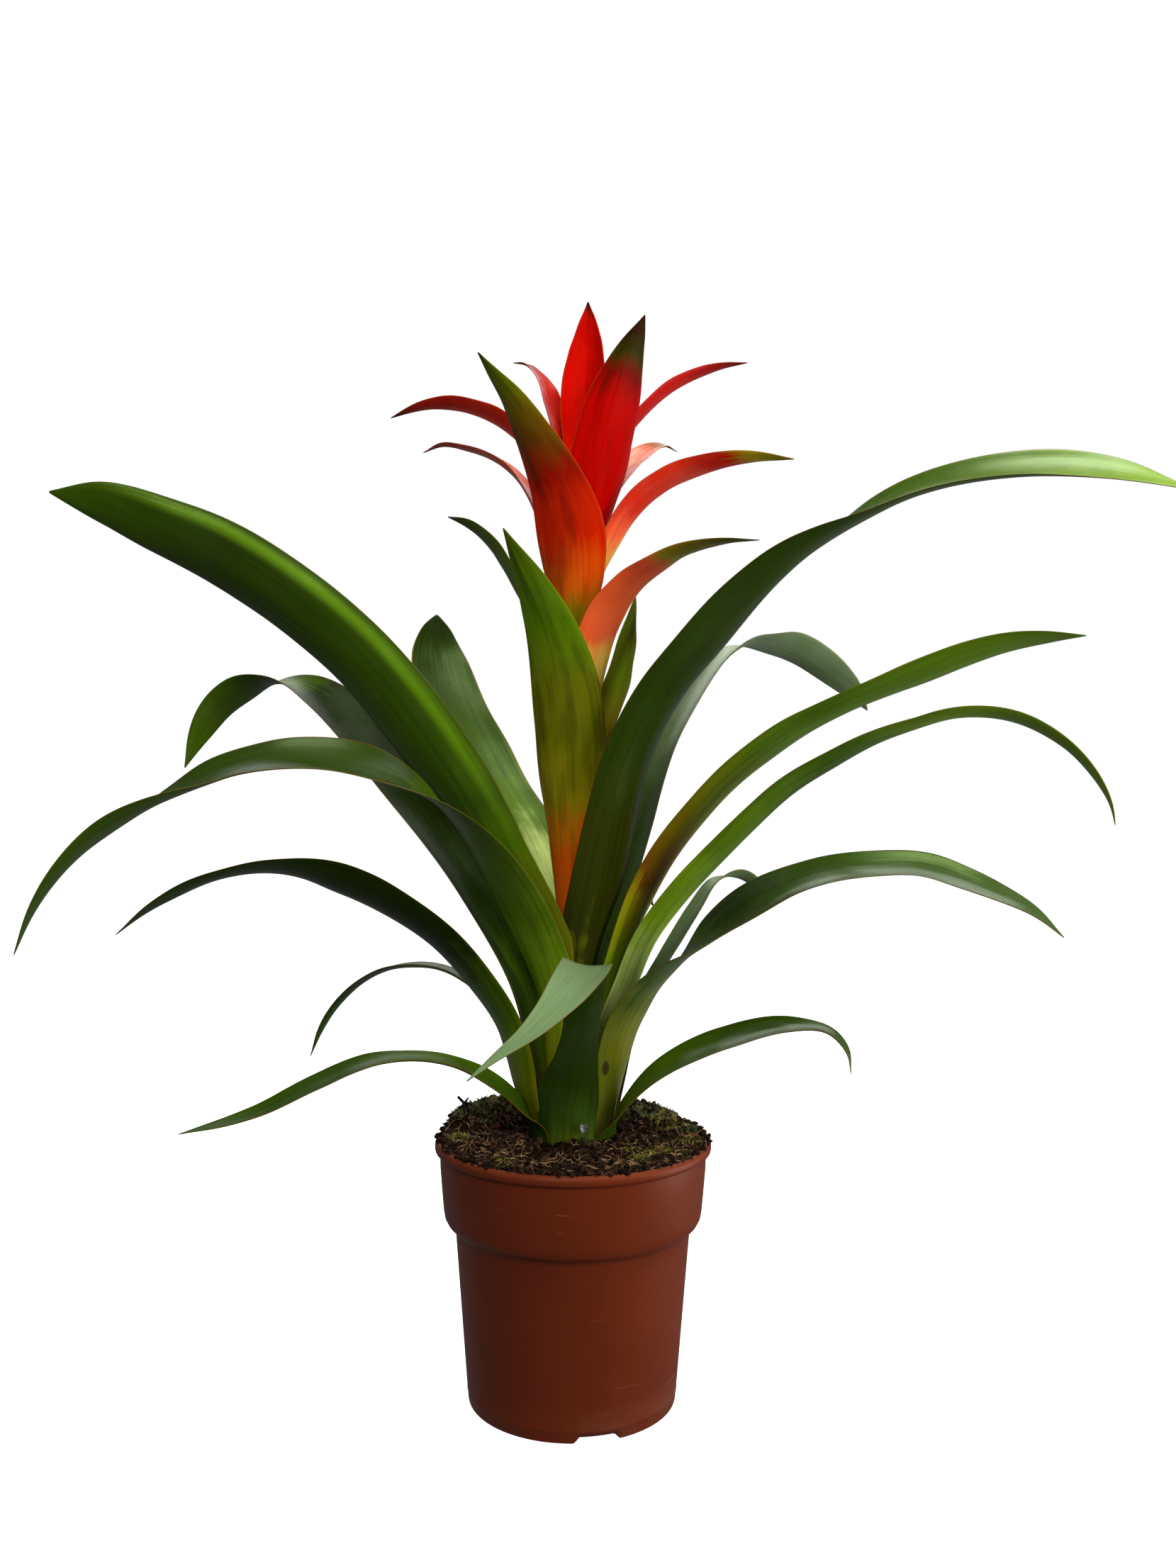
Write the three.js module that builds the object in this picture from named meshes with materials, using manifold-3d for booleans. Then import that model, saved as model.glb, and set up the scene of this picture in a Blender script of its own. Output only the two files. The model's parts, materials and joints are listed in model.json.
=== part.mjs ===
// Guzmania bromeliad in a 12 cm nursery pot, in millimetres with +Z up.
// The origin is on the floor under the pot's axis. The viewer of the photo stands on the -Y side.
import * as THREE from "three";
import { mergeVertices } from "three/addons/utils/BufferGeometryUtils.js";
import Module from "manifold-3d";

const wasm = await Module();
wasm.setup();

// Pot: thin moulded wall, tapered body, wider collar, beaded lip, notched foot ring.
const LIP_RADIUS = 60;
const COLLAR_TOP_RADIUS = 58;
const COLLAR_BOTTOM_RADIUS = 56;
const BODY_TOP_RADIUS = 51;
const FOOT_RADIUS = 45;
const POT_HEIGHT = 112;
const LIP_HEIGHT = 5.5;
const COLLAR_BOTTOM = 80.5;
const BODY_TOP = 75;
const POT_WALL = 1.4;
const FOOT_RING_WIDTH = 2.7;
const BASE_UNDERSIDE = 3;
const NOTCH_AZIMUTHS = [-76, 44, 164];
const NOTCH_WIDTH = 19.6;
const NOTCH_DEPTH = 2.9;
const NOTCH_SLOPE = 2.4;
const DRAIN_HOLES = 6;
const DRAIN_HOLE_RADIUS = 3.5;
const DRAIN_CIRCLE_RADIUS = 31;
const POT_SEGMENTS = 40;

// Soil: fills the pot, lies in low mounds, has a plain hole for the plant.
const GAP = 0.3;
const SOIL_RIM_HEIGHT = 108.5;
const SOIL_HOLE_RADIUS = 21;
const SOIL_HOLE_FLOOR = 96;
const SOIL_HOLE_EDGE_HEIGHT = 113;
const SOIL_SEGMENTS = 36;
// Each mound is [azimuth in degrees, distance from the axis, height, spread].
const SOIL_MOUNDS = [
  [167, 47, 7.5, 9],
  [138, 42, 5, 8],
  [50, 38, 4.5, 7],
  [18, 38, 1.2, 8],
  [110, 40, 2.5, 9],
  [320, 40, 1.8, 8],
  [205, 44, 1.6, 8],
];

// Short rootstock that carries the leaf bases, and the flower stalk above it.
const ROOTSTOCK_BOTTOM = SOIL_HOLE_FLOOR + GAP;
const ROOTSTOCK_RADIUS = 19.4;
const ROOTSTOCK_TOP = 134;
const STALK_RADIUS_LOW = 5.4;
const STALK_RADIUS_HIGH = 3.6;
const STALK_TOP = 402;
const STEM_SEGMENTS = 16;

// Leaf bases stand round the rootstock in shells, from the innermost, 0, to the outermost, 8.
const INNER_SHELL_RADIUS = 6.8;
const SHELL_PITCH = 1.6;
const SHELLS = 9;
const LOWEST_BASE = 98.5;
const BASE_STEP = 4.5;

const POINTS_ACROSS = 5;
const LEAF_STEPS = 13;
const BRACT_STEPS = 8;
const LEAF_THICKNESS = 0.95;
const BRACT_THICKNESS = 0.8;
const EDGE_THICKNESS = 0.65;
const TIP_WIDTH = 1.3;

// Share of the full width at each share of the length.
const STRAP_SHAPE = [[0, 0.8], [0.15, 0.9], [0.35, 1], [0.6, 0.96], [0.8, 0.76], [0.92, 0.45], [1, 0.04]];
const BLUNT_SHAPE = [[0, 0.8], [0.15, 0.9], [0.4, 1], [0.75, 0.98], [0.9, 0.78], [0.97, 0.42], [1, 0.05]];
const PADDLE_SHAPE = [[0, 0.8], [0.15, 0.9], [0.4, 1], [0.74, 0.96], [0.87, 0.78], [0.94, 0.54], [1, 0.05]];
const FOLDED_SHAPE = [
  [0, 1], [0.12, 0.98], [0.24, 0.66], [0.33, 0.54], [0.42, 0.58], [0.52, 0.7], [0.62, 0.63], [0.75, 0.41],
  [0.9, 0.15], [1, 0.03],
];
const TAPER_SHAPE = [[0, 0.7], [0.15, 0.95], [0.32, 1], [0.5, 0.84], [0.7, 0.58], [0.86, 0.32], [1, 0.05]];
const LANCE_SHAPE = [[0, 0.7], [0.15, 0.9], [0.35, 1], [0.55, 0.95], [0.72, 0.76], [0.88, 0.4], [1, 0.05]];

// Each spine point is [distance from the axis, height, degrees turned from the azimuth].
// Azimuth 0 is +X, to the viewer's right, and 270 points at the viewer.
const LEAVES = [
  {
    name: "leaf_right_tallest", azimuth: -28, shell: 0, width: 34, wrap: 150, channel: [65, 65],
    shape: PADDLE_SHAPE,
    roll: [
      [0, 0], [0.2, -10], [0.36, -5], [0.5, -8], [0.6, -2], [0.66, 10], [0.72, 25], [0.8, 30], [0.9, 34],
      [1, 24],
    ],
    spine: [
      [7.5, 160, -20], [8.6, 188, -18], [17.5, 221.5, -15], [24, 249, -12], [32, 275.5, -10],
      [47, 301.5, -8], [64, 320.5, -6], [83, 340, -4], [102.5, 355, -3], [124.5, 367, -1], [145, 376.5],
      [167, 381], [194, 381.5], [220, 377.5], [246, 369],
    ],
  },
  {
    name: "leaf_left_tallest", azimuth: 198, shell: 1, width: 35, wrap: 130, channel: [90, 80],
    shape: PADDLE_SHAPE,
    roll: [[0, 0], [0.25, 18], [0.38, 40], [0.5, 56], [1, 66]],
    spine: [
      [8.9, 165, 1], [11.5, 186, 3], [21, 210, 2.5], [37.5, 236.5], [52, 260.5], [66, 281.5, -2],
      [80, 300.5, -4], [95.5, 318.5, -6], [113, 334, -7], [133.5, 349, -8], [153.5, 361, -8],
      [176, 371, -8], [196.5, 379.5, -8], [218, 383.5, -8],
    ],
  },
  {
    name: "leaf_back_left_upright", azimuth: 120, shell: 2, width: 42, wrap: 72, channel: [50, 45],
    shape: BLUNT_SHAPE,
    spine: [
      [10.4, 150, -4], [14.5, 182, -4], [23, 206, -2], [39, 227, 1], [58, 246, 2], [79, 265, 3],
      [99, 285, 3.5], [119, 303, 3], [136, 321, 1.8], [147, 338, 0.8], [152, 356],
    ],
  },
  {
    name: "leaf_back_right_arching", azimuth: 38, shell: 2, width: 27, wrap: 80, channel: [60, 45],
    shape: PADDLE_SHAPE,
    roll: [[0, 0], [0.4, -14], [0.6, -8], [0.72, -8], [0.8, -22], [1, -24]],
    spine: [
      [10.4, 160], [14, 180], [20.5, 198], [28, 215], [34.5, 231], [41, 248], [47, 266], [54, 283],
      [63.5, 298.5], [74, 312], [86, 324], [101, 332.5], [119, 334.5], [133, 333.5], [149.5, 329.5],
      [167, 322.5], [182.5, 314], [194, 305],
    ],
  },
  {
    name: "leaf_right_upper", azimuth: 2, shell: 3, width: 31, wrap: 110, channel: [60, 45],
    shape: PADDLE_SHAPE,
    roll: [[0, 0], [0.2, -18], [0.3, -29], [0.55, -26], [0.7, -20], [0.82, -24], [1, -14]],
    spine: [
      [12, 150, 2], [15.5, 170, 2], [21.5, 190, 1], [27.5, 206, 1], [34.5, 221.5], [43, 236], [55.5, 252],
      [69, 266.5], [84.5, 279], [101.5, 290.5], [118.5, 299.5, -2], [136.5, 307, -3], [152.5, 313.5, -4],
      [169.5, 320.5, -5], [186, 326, -6], [203, 328.5, -7], [215.5, 329, -8],
    ],
  },
  {
    name: "leaf_front_left_arching", azimuth: 222, shell: 3, width: 32, wrap: 110, channel: [55, 45],
    shape: STRAP_SHAPE,
    roll: [
      [0, 0], [0.25, 4], [0.33, 0], [0.41, -12], [0.48, -26], [0.55, -34], [0.62, -26], [0.68, -16],
      [0.73, -8], [0.78, 6], [0.86, 28], [1, 30],
    ],
    spine: [
      [12, 150, 4], [14.5, 172, 4], [26, 200, 3], [43, 226, 2], [61.5, 247.5], [80, 262, -1],
      [102, 271, -2], [122, 274, -3], [140, 273, -4], [157, 269, -6], [171.5, 262, -7], [186.5, 255, -7],
      [203, 245, -7], [215, 233, -7], [223, 221, -7], [228.5, 207, -7],
    ],
  },
  {
    name: "leaf_left_back", azimuth: 168, shell: 4, width: 34, wrap: 84, channel: [60, 50],
    shape: STRAP_SHAPE,
    roll: [[0, 0], [0.35, -16], [0.6, -34], [0.72, -24], [0.8, 0], [0.86, 26], [1, 38]],
    spine: [
      [15.2, 131], [19.2, 150], [27, 181], [45, 215], [62, 241.5], [82, 268], [101.5, 290.5], [117, 303],
      [129.5, 309.5], [141, 311], [155, 308], [169, 300], [179, 287], [186.5, 272],
    ],
  },
  {
    name: "leaf_right_middle", azimuth: -10, shell: 4, width: 27, wrap: 84, channel: [70, 50],
    shape: STRAP_SHAPE,
    roll: [[0, 0], [0.2, -20], [0.35, -20], [0.6, -14], [0.72, -6], [1, -8]],
    spine: [
      [14, 140, 2], [19, 163, 2], [25.5, 178.5, 1], [33.5, 197.5, 1], [48, 217.5], [63.5, 234.5],
      [78.5, 249.5], [94.5, 264], [110.5, 274], [127.5, 283.5], [145, 290], [160, 294, -2],
      [175, 294, -2], [187, 291, -2], [199, 284.5, -2], [208, 277, -2], [216, 267, -2], [220.5, 258, -2],
      [222, 250, -2],
    ],
  },
  {
    name: "leaf_back_middle", azimuth: 88, shell: 4, width: 26, wrap: 72, channel: [65, 50],
    shape: STRAP_SHAPE,
    spine: [
      [14, 140], [18, 165], [28, 190], [45, 215], [66, 235], [90, 244], [112, 239], [126, 226],
      [131, 212],
    ],
  },
  {
    name: "leaf_left_back_small", azimuth: 156, shell: 5, width: 14, wrap: 66, channel: [65, 50],
    shape: STRAP_SHAPE,
    roll: [[0, 0], [0.2, 10], [0.45, 8], [0.6, 0], [1, -4]],
    spine: [
      [15.4, 122], [18, 136], [25, 151], [37.5, 164], [52, 174.5], [65.5, 180], [80, 181], [96.5, 178],
      [111, 170.5], [123, 160], [132.5, 147.5], [139, 134],
    ],
  },
  {
    name: "leaf_right_back_small", azimuth: 26, shell: 7, width: 16, wrap: 56, channel: [60, 50],
    shape: STRAP_SHAPE,
    roll: [[0, 0], [0.4, -6], [0.78, -4], [0.88, -28], [1, -30]],
    spine: [
      [18.6, 116], [23, 134, 2], [29, 156, 1], [39, 176], [52, 194.5], [62.5, 209.5], [72.5, 221.5],
      [85, 223.5], [94, 219], [100, 209],
    ],
  },
  {
    name: "leaf_left_middle", azimuth: 189, shell: 6, width: 30, wrap: 60, channel: [80, 50],
    shape: STRAP_SHAPE,
    roll: [[0, 0], [0.2, 20], [0.4, 26], [0.6, 32], [0.72, 14], [0.8, 6], [0.9, 14], [1, 8]],
    spine: [
      [17.5, 118, -4], [23.5, 131, -2], [27, 146], [31.5, 160], [43, 177.5], [60.5, 197.5], [86, 215],
      [103, 222.5], [119, 227], [134, 228], [149, 225.5], [164, 220], [180, 211.5], [192, 202],
    ],
  },
  {
    name: "leaf_front_right_middle", azimuth: -24, shell: 6, width: 30, wrap: 96, channel: [70, 50],
    shape: STRAP_SHAPE,
    roll: [
      [0, 0], [0.12, -8], [0.22, -14], [0.28, -8], [0.34, 2], [0.42, 26], [0.5, 34], [0.6, 26], [0.7, 20],
      [0.85, 22], [1, 14],
    ],
    spine: [
      [17, 121, -2], [19.6, 135, -2], [22.5, 148, -1], [26, 160.5], [35, 175.5], [46, 187], [62.5, 202],
      [79, 214.5, 1], [96, 223.5, 2], [113.5, 229.5, 2], [131, 232, 3], [148, 232, 4], [161.5, 228.5, 4],
      [175.5, 223.5, 4], [190.5, 216.5, 4], [201, 207.5, 4],
    ],
  },
  {
    name: "leaf_back_right_low", azimuth: 70, shell: 6, width: 20, wrap: 56, channel: [60, 50],
    shape: STRAP_SHAPE,
    spine: [[17, 121], [21, 142], [30, 165], [45, 190], [64, 207], [84, 213], [99, 211], [108, 203, -1.5]],
  },
  {
    name: "leaf_front_folded", azimuth: 270, shell: 7, width: 30, wrap: 84, channel: [50, 40],
    shape: FOLDED_SHAPE,
    roll: [[0, 0], [0.4, 0], [0.62, -12], [1, -20]],
    spine: [
      [18.4, 116, -12], [20, 130, -9], [23.5, 148, 2.5], [27.5, 163, 7], [32.5, 176, 8], [39, 188, 8], [48, 193, 7],
      [60, 190.5, 2.5], [80, 182, -4.5], [96, 174.5, -9.5], [110, 168.5, -14], [123, 162.5, -17],
    ],
  },
  {
    name: "leaf_left_lowest", azimuth: 218, shell: 8, width: 17, wrap: 48, channel: [60, 50],
    shape: STRAP_SHAPE,
    roll: [[0, 0], [0.09, -2], [0.18, -32], [0.28, -26], [0.38, -10], [0.5, -3], [0.7, -11], [1, -8]],
    spine: [
      [19.6, 116], [22.3, 122.5, -1], [37, 137, -5], [60, 149.5, -10], [86, 151.5, -14], [111, 143, -17],
      [134.5, 132.5, -18], [165, 127, -18],
    ],
  },
  {
    name: "leaf_right_lowest", azimuth: -34, shell: 8, width: 20, wrap: 50, channel: [60, 50],
    shape: STRAP_SHAPE,
    roll: [[0, 0], [0.09, 2], [0.18, 26], [0.4, 28], [0.6, 27], [0.76, 14], [0.88, 0], [1, 0]],
    spine: [
      [19.6, 115], [22.3, 122, 1], [33.5, 136.5, 4], [50, 149.5, 8], [73.5, 160.5, 11], [95, 166, 13],
      [110.5, 165, 14], [118.5, 157.5, 14], [120, 148.5, 14],
    ],
  },
  {
    name: "leaf_back_lowest", azimuth: 98, shell: 8, width: 17, wrap: 56, channel: [60, 50],
    shape: STRAP_SHAPE,
    spine: [[19.8, 114], [22.5, 121], [38, 137], [58, 147], [80, 148], [100, 140], [114, 128]],
  },
];

// Each bract starts on the stalk at its base height and clasps it.
const BRACTS = [
  {
    name: "bract_front_lowest", azimuth: 262, base: 190, width: 34.5, wrap: 140, channel: [60, 55],
    spine: [
      [7, 204], [10, 230], [12.5, 251], [16, 270], [20, 288], [25, 307, -4], [33.5, 326, -9],
      [45, 342, -13], [55, 355, -16], [64.5, 366, -18],
    ],
  },
  {
    name: "bract_back_lowest", azimuth: 95, base: 226, width: 27, wrap: 130, channel: [60, 55],
    spine: [[6.5, 240], [9.5, 258], [14, 278, 5], [20.5, 298, 7], [29, 317, 5], [40, 333], [52, 345]],
  },
  {
    name: "bract_right_back_low", azimuth: 30, base: 258, width: 26, wrap: 130, channel: [60, 55],
    spine: [[7.5, 268], [12.5, 281], [18, 294], [23, 308], [27, 325], [29, 339], [30.5, 350]],
  },
  {
    name: "bract_back_left_low", azimuth: 112, base: 268, width: 22, wrap: 120, channel: [60, 55],
    spine: [[7, 280], [12, 296], [19, 314], [29, 331], [41, 346], [54, 357]],
  },
  {
    name: "bract_right_low", azimuth: -30, base: 284, width: 30, wrap: 150, channel: [55, 50],
    roll: [[0, 0], [0.4, -6], [0.55, 0], [0.7, 2], [1, 0]],
    spine: [
      [7.5, 294], [10.5, 307], [13, 319], [16, 331], [21, 341.5], [29, 350], [38, 355.5], [48, 360.5],
      [60, 363.5], [73, 365], [86, 364.5],
    ],
  },
  {
    name: "bract_left_low", azimuth: 165, base: 302, width: 24, wrap: 130, channel: [60, 55],
    roll: [[0, 0], [0.5, 20], [1, 26]],
    spine: [[8, 313], [14, 328], [23, 343], [31, 357], [38, 368.5], [45, 376.5], [52.5, 382], [60, 385]],
  },
  {
    name: "bract_back_middle", azimuth: 82, base: 318, width: 23, wrap: 130, channel: [60, 55],
    spine: [[6.5, 329], [10, 344], [15, 360], [22, 376], [32, 390], [44, 400], [56, 405]],
  },
  {
    name: "bract_front_left", azimuth: 258, base: 327, width: 33, wrap: 160, channel: [60, 70],
    shape: TAPER_SHAPE,
    spine: [
      [7.5, 336, 4], [11, 347, 4], [14.5, 358, 4], [19, 370, 3], [26, 384, -3], [34.5, 396, -9],
      [43.5, 408, -14], [53, 419, -17], [61.5, 427.5, -20], [69, 435, -22],
    ],
  },
  {
    name: "bract_right_middle", azimuth: -12, base: 338, width: 23, wrap: 140, channel: [60, 55],
    roll: [[0, 0], [0.5, -12], [1, -14]],
    spine: [
      [7, 347], [11.5, 358], [17, 369], [23, 380], [31, 389], [41, 395.5], [53, 400], [67, 403],
      [81, 404], [94, 403],
    ],
  },
  {
    name: "bract_left_middle", azimuth: 160, base: 339, width: 20, wrap: 140, channel: [60, 55],
    spine: [
      [7, 349], [11, 362], [15.5, 376.5], [21.5, 391], [29, 401.5], [40, 410], [53, 415.5], [66, 418.5],
      [75, 416],
    ],
  },
  {
    name: "bract_front_right", azimuth: -50, base: 354, width: 36, wrap: 160, channel: [60, 55],
    spine: [
      [8.5, 364], [12.5, 376], [16, 388], [20, 401], [23.5, 414], [28, 427], [33, 439], [38, 449],
      [43.5, 458.5],
    ],
  },
  {
    name: "bract_back_right", azimuth: 54, base: 364, width: 16, wrap: 120, channel: [60, 55],
    roll: [[0, 0], [0.6, 10], [1, 30]],
    spine: [
      [7.5, 377], [16, 389], [27, 400.5], [37, 409.5], [46, 416], [54, 421.5], [62, 425.5], [71, 428],
      [82, 427.5],
    ],
  },
  {
    name: "bract_left_top", azimuth: 172, base: 373, width: 20, wrap: 130, channel: [60, 55],
    roll: [[0, 0], [0.5, 14], [1, 8]],
    spine: [
      [7, 384], [11.5, 397], [17.5, 408], [26, 417], [36, 425], [47, 430], [58, 432.5], [71, 432],
      [84, 428],
    ],
  },
  {
    name: "bract_right_top", azimuth: 12, base: 379, width: 20, wrap: 130, channel: [60, 55],
    roll: [[0, 0], [0.5, -12], [1, -8]],
    spine: [
      [7, 390], [12.5, 402], [19, 413.5], [26, 423.5], [34, 432.5], [43, 440.5], [54, 447], [66, 452],
      [78, 455],
    ],
  },
  {
    name: "bract_back_left_top", azimuth: 140, base: 386, width: 15, wrap: 110, channel: [60, 55],
    spine: [
      [6, 396], [8.5, 409], [11, 420], [14.5, 431], [18, 441], [23.5, 449], [30.5, 454.5], [38.5, 457],
    ],
  },
  {
    name: "bract_top", azimuth: 72, base: 393, width: 24, wrap: 130, channel: [60, 55],
    spine: [[6.3, 404], [8.8, 418], [11, 433], [13, 449], [14.5, 464], [14.5, 481]],
  },
];

const degrees = THREE.MathUtils.degToRad;
const { lerp, smoothstep } = THREE.MathUtils;

function fromAxis(distance, azimuth, height) {
  const angle = degrees(azimuth);
  return new THREE.Vector3(distance * Math.cos(angle), distance * Math.sin(angle), height);
}

// Value at a share of the length, from a table of [share, value] rows.
function fromTable(table, share) {
  let row = 1;
  while (row < table.length - 1 && share > table[row][0]) row += 1;
  const [low, from] = table[row - 1];
  const [high, to] = table[row];
  return lerp(from, to, THREE.MathUtils.clamp((share - low) / (high - low), 0, 1));
}

// Steps stand closer together near the base and near the tip.
function shareOfStep(step, steps) {
  const even = step / steps;
  return even - 0.06 * Math.sin(2 * Math.PI * even);
}

// One blade: a channelled strip with two faces, two edges, a cut base and a narrow cut tip.
// Near the axis its cross-section is an arc round the axis, and further out it opens to the channel angle.
function bladeGeometry(blade, steps, thickness, spread) {
  const { azimuth, spine, width, wrap, channel, shape, roll = [[0, 0], [1, 0]] } = blade;
  const points = spine.map(([distance, height, turned = 0]) => fromAxis(distance, azimuth + turned, height));
  const path = new THREE.CatmullRomCurve3(points, false, "centripetal");
  path.arcLengthDivisions = 400;
  const baseDistance = spine[0][0];
  const vertices = [];
  for (let step = 0; step <= steps; step += 1) {
    const share = shareOfStep(step, steps);
    const centre = path.getPointAt(share);
    const along = path.getTangentAt(share);
    const distance = Math.hypot(centre.x, centre.y);
    const side = new THREE.Vector3(-centre.y, centre.x, 0).divideScalar(distance);
    side.addScaledVector(along, -side.dot(along)).normalize();
    side.applyAxisAngle(along, degrees(fromTable(roll, share)));
    const inward = along.clone().cross(side);
    const widest = Math.max(width * fromTable(shape, share), TIP_WIDTH);
    const across = Math.min(widest, degrees(wrap) * distance);
    const opened = smoothstep(distance, baseDistance + 1, baseDistance + spread);
    const tipFlattening = 1 - 0.6 * smoothstep(share, 0.85, 1);
    const channelled = degrees(lerp(channel[0], channel[1], share)) * tipFlattening;
    const bend = lerp(across / distance, channelled, opened);
    const radius = across / bend;
    const middle = lerp(thickness, 0.75, share);
    for (const face of [0.5, -0.5]) {
      for (let i = 0; i < POINTS_ACROSS; i += 1) {
        const from = i / (POINTS_ACROSS - 1) - 0.5;
        const thick = lerp(middle, EDGE_THICKNESS, Math.abs(from * 2) ** 3);
        const reach = radius + face * thick;
        const angle = bend * from;
        const vertex = centre.clone().addScaledVector(inward, radius - reach * Math.cos(angle));
        vertices.push(vertex.addScaledVector(side, reach * Math.sin(angle)));
      }
    }
  }
  const faces = [];
  const at = (step, face, i) => (step * 2 + face) * POINTS_ACROSS + i;
  const quad = (a, b, c, d) => faces.push(a, b, c, a, c, d);
  const last = POINTS_ACROSS - 1;
  for (let step = 0; step < steps; step += 1) {
    for (let i = 0; i < last; i += 1) {
      quad(at(step, 0, i), at(step, 0, i + 1), at(step + 1, 0, i + 1), at(step + 1, 0, i));
      quad(at(step, 1, i), at(step + 1, 1, i), at(step + 1, 1, i + 1), at(step, 1, i + 1));
    }
    quad(at(step, 0, 0), at(step + 1, 0, 0), at(step + 1, 1, 0), at(step, 1, 0));
    quad(at(step, 0, last), at(step, 1, last), at(step + 1, 1, last), at(step + 1, 0, last));
  }
  for (let i = 0; i < last; i += 1) {
    quad(at(0, 0, i), at(0, 1, i), at(0, 1, i + 1), at(0, 0, i + 1));
    quad(at(steps, 0, i), at(steps, 0, i + 1), at(steps, 1, i + 1), at(steps, 1, i));
  }
  const geometry = new THREE.BufferGeometry().setFromPoints(vertices);
  geometry.setIndex(faces);
  geometry.computeVertexNormals();
  return geometry;
}

// Heights and radii of the leaf shells on the rootstock.
const shellRadius = (shell) => INNER_SHELL_RADIUS + SHELL_PITCH * shell;
const shellBase = (shell) => LOWEST_BASE + BASE_STEP * (SHELLS - 1 - shell);

function leafGeometry(leaf) {
  const turned = leaf.spine[0][2] ?? 0;
  const radius = shellRadius(leaf.shell);
  const base = shellBase(leaf.shell);
  const spine = [[radius, base, turned], [radius + 0.05, base + 6, turned], ...leaf.spine];
  return bladeGeometry({ ...leaf, spine }, LEAF_STEPS, LEAF_THICKNESS, 22);
}

function stalkRadius(height) {
  const share = (height - ROOTSTOCK_TOP) / (STALK_TOP - ROOTSTOCK_TOP);
  return lerp(STALK_RADIUS_LOW, STALK_RADIUS_HIGH, share);
}

function bractGeometry(bract) {
  const turned = bract.spine[0][2] ?? 0;
  const start = stalkRadius(bract.base) + GAP + BRACT_THICKNESS / 2;
  const spine = [[start, bract.base, turned], ...bract.spine];
  return bladeGeometry({ shape: LANCE_SHAPE, ...bract, spine }, BRACT_STEPS, BRACT_THICKNESS, 28);
}

function lathe(profile, segments) {
  return new THREE.LatheGeometry(
    profile.map(([radius, height]) => new THREE.Vector2(radius, height)),
    segments,
  ).rotateX(Math.PI / 2);
}

function solidOf(geometry) {
  const bare = geometry.clone();
  bare.deleteAttribute("normal");
  bare.deleteAttribute("uv");
  const merged = mergeVertices(bare, 1e-4);
  return new wasm.Manifold(
    new wasm.Mesh({
      numProp: 3,
      vertProperties: merged.attributes.position.array,
      triVerts: new Uint32Array(merged.index.array),
    }),
  );
}

function geometryOf(solid) {
  const mesh = solid.getMesh();
  const geometry = new THREE.BufferGeometry();
  geometry.setAttribute("position", new THREE.BufferAttribute(mesh.vertProperties, 3));
  geometry.setIndex(new THREE.BufferAttribute(mesh.triVerts, 1));
  geometry.computeVertexNormals();
  return geometry;
}

// Wedge that cuts one notch through the foot ring, wider at the floor.
function notchGeometry(azimuth) {
  const half = NOTCH_WIDTH / 2;
  const outline = new THREE.Shape([
    new THREE.Vector2(-half - NOTCH_SLOPE / NOTCH_DEPTH, -1),
    new THREE.Vector2(half + NOTCH_SLOPE / NOTCH_DEPTH, -1),
    new THREE.Vector2(half - NOTCH_SLOPE, NOTCH_DEPTH),
    new THREE.Vector2(-half + NOTCH_SLOPE, NOTCH_DEPTH),
  ]);
  const wedge = new THREE.ExtrudeGeometry(outline, { depth: 14, bevelEnabled: false, steps: 1 });
  return wedge
    .rotateX(Math.PI / 2)
    .translate(0, FOOT_RADIUS + 4, 0)
    .rotateZ(degrees(azimuth - 90));
}

function potGeometry() {
  const inside = (radius) => radius - POT_WALL;
  const lipBottom = POT_HEIGHT - LIP_HEIGHT;
  const profile = [
    [0, BASE_UNDERSIDE],
    [FOOT_RADIUS - FOOT_RING_WIDTH - 0.6, BASE_UNDERSIDE],
    [FOOT_RADIUS - FOOT_RING_WIDTH, 0],
    [FOOT_RADIUS - 0.6, 0],
    [FOOT_RADIUS, 0.8],
    [BODY_TOP_RADIUS, BODY_TOP],
    [COLLAR_BOTTOM_RADIUS - 1.6, BODY_TOP + 2.2],
    [COLLAR_BOTTOM_RADIUS - 0.3, COLLAR_BOTTOM - 0.6],
    [COLLAR_BOTTOM_RADIUS + 0.2, COLLAR_BOTTOM + 3],
    [COLLAR_TOP_RADIUS, lipBottom - 0.6],
    [LIP_RADIUS - 0.6, lipBottom],
    [LIP_RADIUS, lipBottom + 1.4],
    [LIP_RADIUS - 0.3, POT_HEIGHT - 1.5],
    [LIP_RADIUS - 1.4, POT_HEIGHT],
    [LIP_RADIUS - 2.8, POT_HEIGHT],
    [inside(COLLAR_TOP_RADIUS), POT_HEIGHT - 1.4],
    [inside(COLLAR_TOP_RADIUS), lipBottom],
    [inside(COLLAR_BOTTOM_RADIUS), COLLAR_BOTTOM + 2.6],
    [inside(COLLAR_BOTTOM_RADIUS) - 0.8, COLLAR_BOTTOM + 0.2],
    [inside(BODY_TOP_RADIUS), BODY_TOP + 1],
    [inside(FOOT_RADIUS) + 0.4, BASE_UNDERSIDE + POT_WALL],
    [0, BASE_UNDERSIDE + POT_WALL],
  ];
  let pot = solidOf(lathe(profile, POT_SEGMENTS));
  for (const azimuth of NOTCH_AZIMUTHS) pot = pot.subtract(solidOf(notchGeometry(azimuth)));
  for (let i = 0; i < DRAIN_HOLES; i += 1) {
    const hole = new THREE.CylinderGeometry(DRAIN_HOLE_RADIUS, DRAIN_HOLE_RADIUS, 8, 10).rotateX(Math.PI / 2);
    const place = fromAxis(DRAIN_CIRCLE_RADIUS, (360 / DRAIN_HOLES) * i, BASE_UNDERSIDE);
    pot = pot.subtract(solidOf(hole.translate(place.x, place.y, place.z)));
  }
  return geometryOf(pot);
}

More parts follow.
